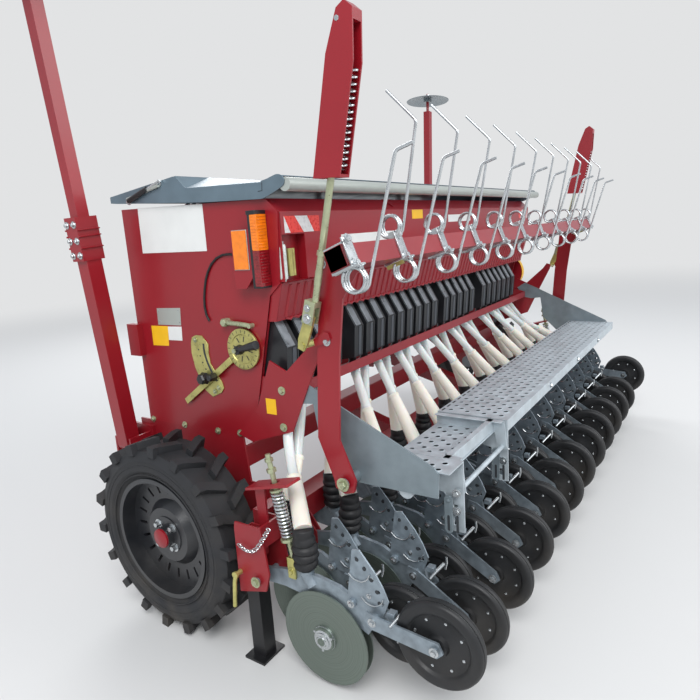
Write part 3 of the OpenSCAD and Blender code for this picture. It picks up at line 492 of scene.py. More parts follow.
CAD_FINISH = {
    "red_frame": "frame frame_sides headstock coulter_beam",
    "red": "hopper end_plates gussets outlet_rail harrow_bar drive_cover strut_left strut_right "
        "marker_arm_left marker_arm_right",
    "steel": "axles metering_shaft",
    "plastic": "metering_units",
    "slide": "unit_slides",
    "tube": "seed_tubes",
    "bellows": "bellows lamp_cable",
    "zinc": "coulters_rear coulters_front",
    "bright": "outer_springs harrow_tines",
    # The platform and ladder take the lighter copy of the galvanised sheet as painted light, and the
    # platform's sides take the darker copy as painted shade
    "deck": "platform ladder",
    "side": "platform_sides",
    "amber": "lamps",
    "yellow_zinc": "setting_dial",
    "lid": "lid",
    "label": "lid_edge",
    "tyre": "tyre_left tyre_right",
    "rim": "rim_left rim_right",
    "disc_rear": "discs_rear",
    "disc_front": "discs_front",
    "rubber": "press_wheels_outer press_wheels_rear press_wheels_front",
    "black": "stand_left stand_right",
    "marker_disc": "marker_disc_left marker_disc_right",
}


def finish_cad():
    """Gives each CAD piece its finish."""
    for finish, names in CAD_FINISH.items():
        for name in names.split():
            nodes[name].data.materials.clear()
            nodes[name].data.materials.append(materials[finish])
    # The struts' rods and feet, and the lugs that hold them, are zinc plated, the rest is painted
    plating = {"gussets": "yellow_zinc", "strut_left": "green_zinc", "strut_right": "green_zinc"}
    for name, finish in plating.items():
        mesh = nodes[name].data
        mesh.materials.append(materials[finish])
        for polygon in mesh.polygons:
            at = polygon.center / MM
            plated = abs(at.x) > GUSSET + 1 if name == "gussets" else at.z < STRUT_LOW
            polygon.material_index = int(plated)


# Base: end plates, gussets and hopper

END_BOLTS = [(581, 645), (402, 645), (228, 645), (120, 652)]
GUSSET_BOLTS = [(-96, 828), (-90, 705)]


def make_bolts():
    """Bolt heads on both ends, at the mast and along the hopper's front."""
    bolts = Shape()
    for y, z in END_BOLTS:
        bolts.bolt((SIDE, y, z), RIGHT, 13, 8)
    for y, z in GUSSET_BOLTS:
        bolts.bolt((GUSSET, y, z), RIGHT, 15, 8)
    bolts.bolt((SIDE + 6, -306, 622), RIGHT, 14, 8)
    bolts.bolt((HARROW_ARM + 22, -356, 588), RIGHT, 22, 11)
    bolts.bolt((PLATE_OUT + 10, PIVOT.y, PIVOT.z), RIGHT, 18, 8)
    for x, y, z in ((-60, 660, 700), (60, 660, 700)):
        bolts.bolt((x, y, z), AHEAD, 18, 9)
    for x in range(-1100, 1101, 220):
        bolts.bolt((x + 30, 600, 1310), AHEAD, 12, 6)
    bolts.mirrored()
    piece("end_bolts", bolts, "green_zinc")


def make_plates():
    """Blank plates and stickers on the left end, the gussets and the hopper."""
    white = Shape()
    white.plate([(507, 1436), (180, 1426), (182, 1275), (511, 1278)], -SIDE - 1.2, -SIDE)
    white.plate([(427, 1014), (354, 1016), (358, 965), (430, 964)], -SIDE - 1, -SIDE)
    white.block((-925, REAR - 0.8, 1255), (-560, REAR, 1299))
    white.block((-20, REAR - 0.8, 1319), (254, REAR, 1352))
    piece("blank_plates", white, "white", bevel=0.4)
    label = Shape()
    label.plate([(476, 1080), (349, 1083), (355, 1020), (478, 1019)], -SIDE - 1.2, -SIDE)
    piece("blank_nameplate", label, "label", bevel=0.4)
    yellow = Shape()
    yellow.plate([(519, 1014), (427, 1015), (434, 942), (521, 940)], -SIDE - 1, -SIDE)
    for s in (-1, 1):
        yellow.plate([(-66, 744), (-24, 744), (-24, 796), (-66, 796)], s * GUSSET, s * (GUSSET + 1))
    yellow.block((-388, REAR - 0.8, 1341), (-288, REAR, 1378))
    piece("yellow_stickers", yellow, "yellow", bevel=0.4)
    rivets = Shape()
    for y, z in ((466, 1070), (466, 1030), (361, 1072), (361, 1031)):
        rivets.rivet((-SIDE - 1.2, y, z), LEFT, 2.5, 1.4)
    piece("plate_rivets", rivets, "bright")


# Hopper, its rear facet sloping in below the lid, with the gauge's recess at the left end

REAR = -134
RECESS_Y = -102
RECESS_X = -1128
GLASS_X = -1232
RECESS_LOW = 1170
RECESS_TOP = 1312
FLOOR_Z = 1046
HOPPER_FRONT = [(600, RIM_Z), (600, 1262), (-6, FLOOR_Z)]
HOPPER_REAR = [(-84, FLOOR_Z), (-121, 1166), (REAR, 1172), (REAR, 1380), (-91, 1421)]
RECESS = [(REAR, RECESS_LOW), (RECESS_Y, RECESS_LOW), (RECESS_Y, RECESS_TOP), (REAR, RECESS_TOP)]
HOPPER_RECESS = HOPPER_REAR[:2] + RECESS + HOPPER_REAR[3:]
END_EDGE = [(-73, 1129), (25, 757), (115, 642)]
SHEET = 2.5
SLOT_HALF = 18
RIB_PITCH = 40
LIP_GUSSETS = (-530, 445)
HINGES = (-900, 0, 900)
HINGE = vec(0, 620, RIM_Z + 16)


def sheet_of(outline, wall):
    """Thin wall along an open outline in Y and Z, its thickness on the outline's right-hand side."""
    points = [Vector(p) for p in outline]
    inner = []
    for k, p in enumerate(points):
        before = (p - points[k - 1]).normalized() if k else (points[1] - p).normalized()
        after = (points[k + 1] - p).normalized() if k < len(points) - 1 else before
        normal = Vector((before.y + after.y, -before.x - after.x)).normalized()
        inner.append(p + normal * wall / max(0.4, normal.dot(Vector((before.y, -before.x)))))
    return [tuple(p) for p in points + inner[::-1]]


def make_hopper():
    red = Shape()
    walls = ((HOPPER_FRONT, -INNER_X, INNER_X),
             (HOPPER_REAR, RECESS_X, INNER_X),
             (HOPPER_RECESS, -INNER_X, RECESS_X))
    for outline, x0, x1 in walls:
        red.plate(sheet_of(outline, SHEET), x0, x1)
    red.plate(RECESS[::-1], RECESS_X - 2, RECESS_X)
    # Flat bottom with an outlet over each metering unit
    red.block((-INNER_X, -84, FLOOR_Z), (INNER_X, -66, FLOOR_Z + SHEET))
    red.block((-INNER_X, -26, FLOOR_Z), (INNER_X, -6, FLOOR_Z + SHEET))
    ends = [-INNER_X] + [x for unit in UNIT_X for x in (unit - SLOT_HALF, unit + SLOT_HALF)] + [INNER_X]
    for x0, x1 in zip(ends[::2], ends[1::2]):
        red.block((x0, -66, FLOOR_Z), (x1, -26, FLOOR_Z + SHEET))
    for s in (-1, 1):
        red.plate(HOPPER_FRONT + HOPPER_REAR, s * (INNER_X - SHEET), s * (INNER_X - 0.2))
        # Flange along the end plate's rear edge
        for (y0, z0), (y1, z1) in zip(END_EDGE, END_EDGE[1:]):
            red.plate([(y0, z0), (y1, z1), (y1 + 3, z1), (y0 + 3, z0)], s * (SIDE - 14), s * SIDE)
    for k in range(-30, 31):
        x = k * RIB_PITCH
        red.tube([(x, -119, 1158), (x, -86, 1056)], 6, 8)
        red.tube([(x, -84, 1052), (x + RIB_PITCH / 2, -88, FLOOR_Z), (x + RIB_PITCH, -84, 1052)], 5, 6)
    for x in LIP_GUSSETS:
        red.rings([[(x - 36, y, 1422), (x + 36, y, 1422), (x, y - 33, 1391)] for y in (-95, -90)])
    for x in HINGES:
        lug = [(599, RIM_Z - 60), (628, RIM_Z + 6), (628, RIM_Z + 22), (612, RIM_Z + 22), (599, RIM_Z)]
        red.plate(lug, x - 5, x + 5)
        red.turned([(0, -30), (6, -30), (6, 30), (0, 30)], HINGE + vec(x, 0, 0), RIGHT, 16)
    made = piece("hopper_sheet", red, "red", bevel=0.6)
    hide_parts("hopper")
    beam = Shape()
    beam.block((-SIDE + 12, 115, 520), (SIDE - 12, 195, 600))
    piece("rear_beam", beam, "red_frame", bevel=4)


STRIPE_LOW = 1316
STRIPE_HIGH = 1366
STRIPE_EDGES = [(1226, 1226), (1226, 1199), (1174, 1133), (1111, 1079), (1048, 1048)]


def make_stripes():
    """White and red diagonal stripes near both ends of the hopper's rear."""
    white, red = shapes(2)
    for k, ((top0, low0), (top1, low1)) in enumerate(zip(STRIPE_EDGES, STRIPE_EDGES[1:])):
        ring = [(low0, STRIPE_LOW), (low1, STRIPE_LOW), (top1, STRIPE_HIGH), (top0, STRIPE_HIGH)]
        shape = red if k % 2 else white
        shape.rings([[(x, y, z) for x, z in ring] for y in (REAR, REAR - 0.8)])
    piece("stripes_white", white.mirrored(), "stripe_white")
    piece("stripes_red", red.mirrored(), "stripe_red")


def make_gauge():
    """Sight glass and a brass tube in the recess at the hopper's left end."""
    glass, brass, bright = shapes(3)
    tube = [(0, 0), (13, 0), (14, 6), (14, 96), (12, 105), (0, 105)]
    glass.turned(tube, (GLASS_X, REAR + 14, RECESS_LOW + 8), UP, 20)
    for x, back in ((-1196, 14), (-1176, 20)):
        brass.pin(9, 84, (x, REAR + back, RECESS_LOW + 15), UP, 16)
    for z in (RECESS_LOW, 1283):
        bright.pin(8, 9, (GLASS_X, REAR + 14, z), UP, 6)
    piece("gauge_glass", glass, "glass")
    piece("gauge_tubes", brass, "yellow_zinc")
    piece("gauge_fittings", bright, "bright")


LAMP_OUT = 46
LAMP_LOW = 1162
LENS_SPLIT = 1270
LAMP_TOP = 1376
BRACKET = [(27, 1155), (27, 1334), (-50, 1334), (-50, 1190), (-20, 1155)]


def make_lamps():
    """Amber side reflectors on their brackets, and tail lamps with an amber and a red lens."""
    amber, red, black, rim, bracket = shapes(5)
    bracket.plate(BRACKET, SIDE + 40, SIDE + 44)
    bracket.block((SIDE, 23, 1155), (SIDE + 42, 27, 1334))
    out = SIDE + LAMP_OUT
    amber.block((SIDE + 44, -40, 1215), (SIDE + 49, 18, 1332))
    rim.block((SIDE + 44, -42, 1213), (SIDE + 46.5, 20, 1334))
    black.block((SIDE, -60, LAMP_LOW - 2), (out, -50, LAMP_TOP + 2))
    black.block((SIDE - 2, -84, LAMP_TOP), (out + 2, -48, LAMP_TOP + 12))
    black.block((SIDE, -86, LAMP_LOW - 6), (out, -50, LAMP_LOW))
    amber.block((SIDE + 2, -86, LENS_SPLIT + 2), (out, -60, LAMP_TOP))
    red.block((SIDE + 2, -86, LAMP_LOW), (out, -60, LENS_SPLIT))
    for z in range(LAMP_LOW + 10, LAMP_TOP - 4, 9):
        target = red if z < LENS_SPLIT - 2 else amber
        target.tube([(out, -63, z), (out + 0.6, -84, z), (out - 3, -86.4, z), (SIDE + 5, -86.4, z)], 1.4, 6)
    piece("lamp_housings", black.mirrored(), "plastic", bevel=1.5)
    replaced = piece("amber_lenses", amber.mirrored(), "amber", bevel=1.2)
    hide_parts("lamps")
    piece("red_lenses", red.mirrored(), "red_lens", bevel=1.2)
    piece("reflector_frames", rim.mirrored(), "label", bevel=0.8)
    piece("reflector_brackets", bracket.mirrored(), "red", bevel=0.8)


QUADRANT = [(303, 981), (283, 989), (254, 988), (226, 959), (229, 928), (226, 892), (209, 867), (179, 828),
            (173, 808), (185, 791), (231, 771), (265, 793), (282, 824), (304, 870), (314, 923), (312, 960)]
QUADRANT_SLOT = [(248, 961), (248, 927), (237, 891), (218, 856), (200, 831)]
LEVER_END = (363, 743)
DIAL_R = 69


def make_dial():
    """Seed rate lever with its quadrant, and the dial with its crank."""
    yellow, black, bright, dark = shapes(4)
    x = -SIDE
    yellow.plate(QUADRANT, x - 4, x)
    dy, dz = SHAFT.y, SHAFT.z
    disc = [(0, 4), (DIAL_R - 1, 4), (DIAL_R, 6), (DIAL_R, 12), (DIAL_R - 3, 14), (50, 14), (47, 11),
            (20, 11), (16, 14), (0, 14)]
    yellow.turned(disc, (x, dy, dz), LEFT, 48)
    lever = vec(0, LEVER_END[0] - dy, LEVER_END[1] - dz).normalized()
    across = vec(0, -lever.z, lever.y) * 11
    near, far = vec(0, dy, dz) + lever * DIAL_R, Vector((0, *LEVER_END))
    ring = [near + across, near - across, far - across, far + across]
    yellow.plate([(p.y, p.z) for p in ring], x - 14, x - 9)
    for a in around(8, math.radians(12)):
        c = vec(x - 11.2, dy, dz) + vec(0, *polar(34, a))
        dark.block((-0.5, -9, -1.5), (0.5, 9, 1.5), about_x(c, math.degrees(a)))
    for a in around(20):
        c = vec(x - 14.2, dy, dz) + vec(0, *polar(DIAL_R - 9, a))
        dark.block((-0.4, -5, -0.8), (0.4, 5, 0.8), about_x(c, math.degrees(a)))
    # The quadrant's slot and holes are dark tubes and discs, painted shade
    dark.tube([(x - 3.6, y, z) for y, z in rounded(QUADRANT_SLOT, 20, 4)], 3.8, 8)
    for y, z in ((276, 938), (271, 916), (262, 893), (250, 870), (238, 852)):
        dark.turned([(3, 0), (3, 0.4), (0, 0.4)], (x - 4, y, z), LEFT, 8)
    black.turned([(0, 0), (15, 0), (17, 6), (14, 24), (0, 27)], (x - 14, dy + 4, dz), LEFT, 20)
    black.tube([(x - 31, 66, 953), (x - 34, 40, 960), (x - 35, -4, 971), (x - 35, -27, 977)],
               lambda t: 12 - 3 * math.cos(math.pi * t), 14)
    for y, z, r in ((245, 841, 22), (200, 850, 15)):
        black.turned([(0, 0), (r, 0), (r + 2, 5), (r * 0.86, 16), (r * 0.9, 24), (r * 0.7, 29), (0, 30)],
                     (x - 14, y, z), LEFT, 6)
    for y, z in ((286, 972), (216, 792), (196, 808)):
        bright.bolt((x - 4, y, z), LEFT, 9, 5)
    bright.pin(8, 3, (x - 46, dy + 6, dz), LEFT, 12)
    bright.tube([(x - 14, 124, 1041), (x - 14, 64, 1038), (x - 12, 8, 1033)], 8, 12)
    bright.turned([(0, 0), (15, 0), (15, 22), (12, 26), (0, 26)], (x, 121, 1041), LEFT, 6)
    bright.pin(8, 20, (x, 12, 1033), LEFT, 16)
    dial = piece("dial_plates", yellow, "yellow_zinc", bevel=0.8)
    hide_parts("setting_dial")
    piece("dial_marks_and_hole_shade", dark, "dark")
    piece("dial_knobs", black, "plastic", bevel=0.8)
    piece("dial_bolts", bright, "green_zinc")


def make_drive_cover():
    """Edge of the round drive cover."""
    edge = Shape()
    edge.turned([(108.4, -1), (110, 0), (110, 36), (104, 40.6), (100, 40.6), (100, 40), (108, 36), (108, 0)],
                (SIDE + 12, 20, 965), RIGHT, 48, closed=True)
    piece("drive_cover_edge", edge, "yellow")


# Metering units, seed tubes and bellows

def make_units():
    """Slides down the units' sloping backs, strips on their fronts, and collars on their spouts."""
    slides, strips, trim = shapes(3)
    for x in UNIT_X:
        slides.plate([(-60, 1042), (-106, 960), (-112, 964), (-66, 1046)], x - 28, x + 6)
        slides.plate([(-58, 1046), (-66, 1050), (-60, 1060), (-50, 1056)], x - 24, x + 2)
        strips.plate([(-108, 956), (-98, 846), (-95, 846), (-105, 956)], x - 2, x + 16)
        trim.plate([(-100, 962), (-108, 958), (-97, 843), (-90, 841)], x + 22, x + 29)
        trim.turned([(0, 0), (17, 0), (19, 6), (17, 12), (0, 12)], (x, SPOUT_Y, SPOUT_Z), UP, 16)
        trim.block((x - 26, -60, 1030), (x + 26, -40, 1044))
    made = piece("unit_slide_plates", slides, "slide", bevel=0.8)
    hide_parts("unit_slides")
    piece("unit_strips", strips, "strip", bevel=1)
    piece("unit_feet", trim, "plastic", bevel=1)


HOSE_RING = [(16, -3), (18.5, -1.5), (18.5, 1.5), (16, 3)]
# Lower ends of the tubes and of their bellows, behind the coulter's pivot and above it
TUBE_BACK = 153
TUBE_LOW = 181
BELLOWS_LOW = 57


def make_tubes():
    """Seed tubes: a thin clear hose from the rail, then a wider moulded part that flares to the bellows."""
    thin, wide = shapes(2)
    for i in range(ROWS):
        edge = min(i, ROWS - 1 - i)
        side = -1 if i < ROWS / 2 else 1
        low = vec(row_x(i), PIVOT.y + row_shift(i) - TUBE_BACK, PIVOT.z + TUBE_LOW)
        top = vec(UNIT_X[i], SPOUT_Y, SPOUT_Z)
        bend = vec(side * (SIDE + 2), -92, 640) if edge == 0 else vec(side * (SIDE - 14), -112, 590)
        middle = low.lerp(bend, 0.55) if edge == 0 else bend if edge == 1 else low.lerp(top, 0.52)
        down = (low - middle).length
        r0, r1 = (26, 27) if edge == 0 else (22, 28)
        wide.turned([(16, -14), (r0 - 3, -13), (r0, -9), (r0, -2), (r0 - 2, 2), (r0 - 1.5, 8), (r1, down - 6),
                     (r1, down), (0, down)], middle, low - middle, 28)
        path = [low.lerp(middle, 0.92)] + ([middle, bend] if edge == 0 else [middle]) + [top]
        thin.tube(rounded(path, 60, 6), lambda t: 15.5 + 1.5 * t, 20)
        upper = (top - (bend if edge < 2 else middle)).normalized()
        for back in (26, 38):
            thin.turned(HOSE_RING, top - upper * back, upper, 20, closed=True)
    made = piece("tube_lower_parts", wide, "tube")
    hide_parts("seed_tubes")
    piece("tube_hoses", thin, "hose")


BELLOWS_SIDES = 28
BELLOWS = [(20, 0), (24, 4), (33, 10), (37, 18), (34, 26), (31, 30), (36, 36), (40, 45), (37, 53), (33, 57),
           (37, 63), (39, 71), (35, 79), (30, 83), (33, 88), (34, 95), (31, 102), (29.5, 106), (31, 110),
           (31, 126), (29, 130)]


def make_bellows():
    """Rubber bellows with soft folds, pushed over the lower ends of the tubes."""
    shape = Shape()
    for i in range(ROWS):
        turn = Matrix.Translation(vec(row_x(i), PIVOT.y + row_shift(i) - TUBE_BACK, PIVOT.z + BELLOWS_LOW))
        rings = []
        for r, h in BELLOWS:
            lean = vec(0.6 * math.sin(i * 1.7 + h * 0.06), 0.9 * math.cos(i * 2.3 + h * 0.05), 0)
            rings.append([lean * 2 + vec(*polar(r, a), h + 1.6 * math.sin(a + i + h * 0.09))
                          for a in around(BELLOWS_SIDES)])
        shape.rings(rings, matrix=turn)
    made = piece("rubber_bellows", shape, "bellows", smooth=70)
    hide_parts("bellows")


# Coulters

def make_coulter_details():
    """Holes in the coulters' quadrant plates, painted as thin dark discs of shade, and the brackets, bolts,
    T-pins and spring clips of the coulters.
    """
    zinc, bright, dark = shapes(3)
    for i in range(ROWS):
        outer = i in (0, ROWS - 1)
        at = PIVOT + vec(row_x(i), row_shift(i), 0)
        press = vec(0, -572, -31) if outer else vec(0, -550, -113)
        bright.bolt(at + vec(-20, -317, 10), LEFT, 12, 6)
        bright.bolt(at + vec(-31, -389, -16), LEFT, 13, 6)
        bright.bolt(at + press + vec(-37, 0, 0), LEFT, 14, 8)
        bright.bolt(at + vec(-11, -372, 46), LEFT, 8, 4)
        # The quadrant's holes are thin dark discs, painted shade
        for y, z in ((-340, 146), (-362, 124), (-382, 97), (-398, 66), (-404, 34)):
            dark.pin(6, 0.6, at + vec(-11.2, y, z), LEFT, 12)
        zinc.block((-14, -448, 0), (8, -426, 16), Matrix.Translation(at))
        bright.turned([(0, -36), (5, -36), (5, 30), (0, 30)], at + vec(-6, -458, 8), (0.9, -0.3, 0.35), 10)
        bright.tube([at + vec(22, -470, 0), at + vec(26, -474, 20), at + vec(28, -472, 38)], 3.5, 8)
        for lift in (0, 62):
            clip = [(-350, 38), (-366, 24), (-392, 22), (-412, 36), (-418, 52)]
            path = rounded([at + vec(-15, y + lift * 0.62, z + lift) for y, z in clip], 8, 3)
            bright.tube(path, 2, 6)
    piece("coulter_brackets", zinc, "zinc", bevel=0.8)
    piece("coulter_bolts", bright, "bright")
    piece("coulter_hole_shade", dark, "dark")


HUB = [(38, 0), (38, 3), (33, 5), (33, 9), (25, 12), (25, 16), (17, 17), (15, 19), (0, 19)]


def make_disc_hubs():
    """Stepped bearing caps with their small bolts on both faces of the coulter discs."""
    for body, centre, parity in (("discs_rear", DISC_REAR, 0), ("discs_front", DISC_FRONT, 1)):
        caps = Shape()
        for i in range(parity, ROWS, 2):
            for s in (-1, 1):
                at = vec(row_x(i) + s * 16, centre.y, centre.z)
                caps.turned(HUB, at, (s, 0, 0), 24)
                for a in around(3, 0.6):
                    caps.bolt(at + vec(s * 4, *polar(34, a)), (s, 0, 0), 8, 5, False)
        piece(body + "_caps", caps, "bright", body)


PRESS_SKIN = [(26, -19), (30, -8), (36, -6.5), (82, -6.5), (86, -9), (88, -15), (94, -18), (112, -19),
              (117, -16.5), (120, -12), (121, -8), (119.5, -7), (119.5, -6), (122, -5), (122.5, 0)]
GROOVE_R = 119.8


def make_press_wheels():
    """Press wheels with grooved treads, and the rivets of their centres."""
    bodies = (("press_wheels_outer", PRESS_OUTER, [0, ROWS - 1]),
              ("press_wheels_rear", PRESS_REAR, list(range(2, ROWS - 2, 2))),
              ("press_wheels_front", PRESS_FRONT, list(range(1, ROWS, 2))))
    grow = PRESS_R / PRESS_SKIN[-1][0]
    outline = [(r * grow, x) for r, x in PRESS_SKIN] + [(r * grow, -x) for r, x in PRESS_SKIN[-2::-1]]
    for body, centre, rows in bodies:
        rubber, rivets, groove = shapes(3)
        for i in rows:
            at = vec(row_x(i), centre.y, centre.z)
            rubber.turned(outline + [(8.05, 19), (8.05, -19)], at, RIGHT, 56, closed=True)
            for s in (-1, 1):
                ring = [(GROOVE_R - d, s * w) for d, w in ((0, 7.6), (0, 6.4), (3, 6.4), (3, 7.6))]
                groove.turned(ring, at, RIGHT, 56, closed=True)
                for a in around(8, 0.3):
                    rivets.rivet(at + vec(s * 6.5, *polar(70, a)), (s, 0, 0), 4.5, 3)
        made = piece(body + "_rubber", rubber, "rubber", body, smooth=50)
        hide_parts(body)
        piece(body + "_rivets", rivets, "bright", body)
        piece(body + "_grooves", groove, "label", body)


def make_outer_springs():
    """Helical springs that press the two outermost coulters down."""
    low = vec(row_x(ROWS - 1), PIVOT.y - 106, PIVOT.z + 78)
    top = vec(row_x(ROWS - 1), PIVOT.y - 62, PIVOT.z + 304)
    along = top - low
    spring, rod, clevis = shapes(3)
    spring.tube(helix(low + 0.3 * along, low + 0.9 * along, 17, 13, 16), 3.6, 8)
    rod.pin(8, along.length * 1.4, low, along, 16)
    for share, r, h in ((0.25, 23, 8), (0.91, 20, 6), (1.16, 15, 12), (1.3, 13, 10)):
        rod.pin(r, h, low + share * along, along, 6 if share > 1 else 24)
    clevis.block(low - vec(13, 13, 60), low + vec(-6, 14, 6))
    clevis.block(low + vec(6, -13, -60), low + vec(13, 14, 6))
    clevis.block(low - vec(13, 13, 0), low + vec(13, 14, 6))
    clevis.bolt(low + vec(13, 0, -36), RIGHT, 13, 7)
    spring_piece = piece("coil_springs", spring.mirrored(), "bright")
    piece("spring_rods", rod.mirrored(), "green_zinc")
    piece("spring_clevises", clevis.mirrored(), "yellow_zinc", bevel=1)
    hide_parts("outer_springs")


STAND_PIN = (-62, 312)


def make_stand_pins():
    """Pins that hold the parking legs, with their handles and chains."""
    pins, chain = shapes(2)
    x = PLATE_OUT + 6
    pins.turned([(0, -20), (8, -20), (8, 14), (11, 15), (11, 22), (0, 23)], (x, *STAND_PIN), RIGHT, 16)
    pins.tube(rounded([(x + 16, *STAND_PIN), (x + 20, -58, 292), (x + 20, -47, 203)], 10), 6.5, 10)
    for k in range(17):
        t = k / 16
        at = vec(x + 6, -80 - 125 * t, 411 + 81 * t - 50 * math.sin(math.pi * t) * (1 - 0.4 * t))
        turn = about_x(at, 0) @ Matrix.Rotation(math.radians(90 * (k % 2)), 4, "Y")
        ring = [turn @ vec(0, 7.5 * math.cos(a), 4.5 * math.sin(a)) for a in around(8)]
        chain.tube(ring, 1.5, 5, closed=True)
    piece("stand_pins", pins.mirrored(), "yellow_zinc")
    piece("pin_chains", chain.mirrored(), "bright")


# Platform and ladder

HOLE_PITCH_X = 48
HOLE_PITCH_Y = 27
HOLE_R = 9
TREAD_DROP = 40
SLOT_PITCH = 49


def punched(dark, rims, x0, x1, y0, y1, z):
    """Staggered holes with raised rims in a sheet whose top is at z. Each hole is a thin dark disc, painted
    shade.
    """
    rows = int((y1 - y0) / HOLE_PITCH_Y)
    for r in range(rows + 1):
        y = y0 + r * (y1 - y0) / rows
        count = max(1, int((x1 - x0) / HOLE_PITCH_X))
        for k in range(count + 1 - r % 2):
            x = x0 + (k + 0.5 * (r % 2)) * (x1 - x0) / count
            dark.turned([(HOLE_R, 0.3), (0, 0.3)], (x, y, z), UP, 12)
            rims.turned([(HOLE_R - 1, 0), (HOLE_R - 0.6, 1.6), (HOLE_R + 0.6, 1.6), (HOLE_R + 3, 0)],
                        (x, y, z), UP, 12, closed=True)


def make_deck():
    """Holes, slots and bolts of the platform, and the tread, rails and links of its ladder. The holes and
    slots are thin dark shapes, painted shade.
    """
    dark, rims, trim = shapes(3)
    punched(dark, rims, DECK_LEFT + 30, SIDE - 30, DECK_REAR + 34, DECK_FRONT - 40, DECK_Z)
    punched(dark, rims, -SIDE + 14, -SIDE + 60, DECK_REAR + 40, DECK_FRONT - 40, DECK_Z)
    # Slots along the deck's front, thin dark strips painted as shade
    for k in range(41):
        x = DECK_LEFT + 24 + k * SLOT_PITCH
        dark.block((x - 14, DECK_FRONT - 16, DECK_Z), (x + 14, DECK_FRONT - 9, DECK_Z + 0.3))
    piece("deck_hole_shade", dark, "dark")
    piece("deck_rims", rims, "deck")
    for x in (-250, 250, 740):
        trim.bolt((x + 40, DECK_REAR - 1, DECK_Z - 22), BACK, 12, 6)
    for x in (DECK_LEFT - 3, box_mm("ladder")[0].x - 9):
        for z in (DECK_Z - 95, DECK_Z - 150):
            trim.bolt((x - 3, DECK_REAR + 17, z), LEFT, 14, 7)
    piece("deck_bolts", trim, "bright")
    dark, rims = shapes(2)
    low, high = box_mm("ladder")
    punched(dark, rims, low.x + 40, high.x - 40, DECK_REAR + 72, DECK_FRONT - 36, DECK_Z - TREAD_DROP)
    piece("tread_hole_shade", dark, "dark", "ladder")
    piece("tread_rims", rims, "deck", "ladder")
    # Rails that stand round the recessed tread
    rails = Shape()
    x0, x1 = low.x + 8, high.x - 14
    for a, b in ((x0 - 1, x0 + 26), (x1 - 26, x1 + 1)):
        rails.block((a, DECK_REAR + 12, DECK_Z - 3.8), (b, DECK_FRONT - 6, DECK_Z - 1))
    rails.block((x0 + 6, DECK_REAR + 46, DECK_Z - 39.5), (x1 - 6, DECK_REAR + 49, DECK_Z - 4))
    rails.block((x0, DECK_REAR + 46, DECK_Z - 3.8), (x1, DECK_REAR + 66, DECK_Z - 1))
    piece("tread_rails", rails, "deck", "ladder", bevel=0.6)
    # Link plates and slots on the legs at both sides of the ladder. The slots are thin dark outlines, painted
    # shade.
    links, slots = shapes(2)
    for x in (DECK_LEFT - 6, low.x - 12):
        y = DECK_REAR + 42
        outline = arc((y, DECK_Z - 118), 13, 0, 180, 8) + arc((y, DECK_Z - 212), 13, 180, 360, 8)
        links.plate(outline, x - 4, x)
        links.rivet((x - 4, y, DECK_Z - 120), LEFT, 7, 5)
        for sy, z0, z1, face in ((y, 432, 474, x - 4), (DECK_REAR + 16, 428, 476, x)):
            slot = arc((sy, z1), 4, 0, 180, 6) + arc((sy, z0), 4, 180, 360, 6)
            slots.plate(slot, face - 0.4, face)
    # The link plates take the darker copy of the galvanised sheet, painted shade
    piece("leg_links", links, "side", bevel=0.8)
    piece("leg_slot_shade", slots, "dark")


# Ground wheels

def make_wheels():
    """Side ribs of the tyres, and hub caps, flanges and bolts of the wheels."""
    for side, name in SIDES:
        body = "wheel_" + name
        out = (side, 0, 0)
        centre = vec(side * WHEEL.x, WHEEL.y, WHEEL.z)
        ribs = Shape()
        for r, x in ((TYRE_R - 60, 84.5), (TYRE_R - 72, 85.2), (TYRE_R - 104, 82)):
            rib = [(r - 2.5, x - 2), (r - 1.5, x + 1.2), (r + 1.5, x + 1.2), (r + 2.5, x - 2)]
            ribs.turned(rib, centre, out, 72, closed=True)
        piece("tyre_ribs_" + name, ribs, "tyre", body)
        cap, bolts, flange = shapes(3)
        cap.turned([(34, 0), (33, 6), (24, 11), (0, 12)], centre + vec(side * 68, 0, 0), out, 32)
        flange.turned([(36, 34), (66, 42), (66, 45), (36, 47)], centre, out, 40, closed=True)
        for a in around(4, TURN / 8):
            bolts.bolt(centre + vec(side * 45, *polar(50, a)), out, 17, 15)
        piece("hub_cap_" + name, cap, "red", body)
        piece("hub_flange_" + name, flange, "rim", body)
        piece("wheel_bolts_" + name, bolts, "bright", body)


# Lid

LID_FRONT = (635, 1484)
RIDGE = (279, 1523)
FOLD = (236, 1480)
VALLEY = (-88, 1472)
VALLEY_END = (-88, 1468)
SKIRT = [LID_FRONT, RIDGE, FOLD, VALLEY_END, (-100, 1471), (-152, 1485), (-171, 1481), (-181, 1466),
         (-177, 1452), (-152, 1440), (-93, 1419), (161, 1429), (497, 1451), (598, 1458), (635, 1462)]
LID_SHEET = 3
ROOF_INSET = 150
LID_STRUT_ALONG = (0, -172, 51)


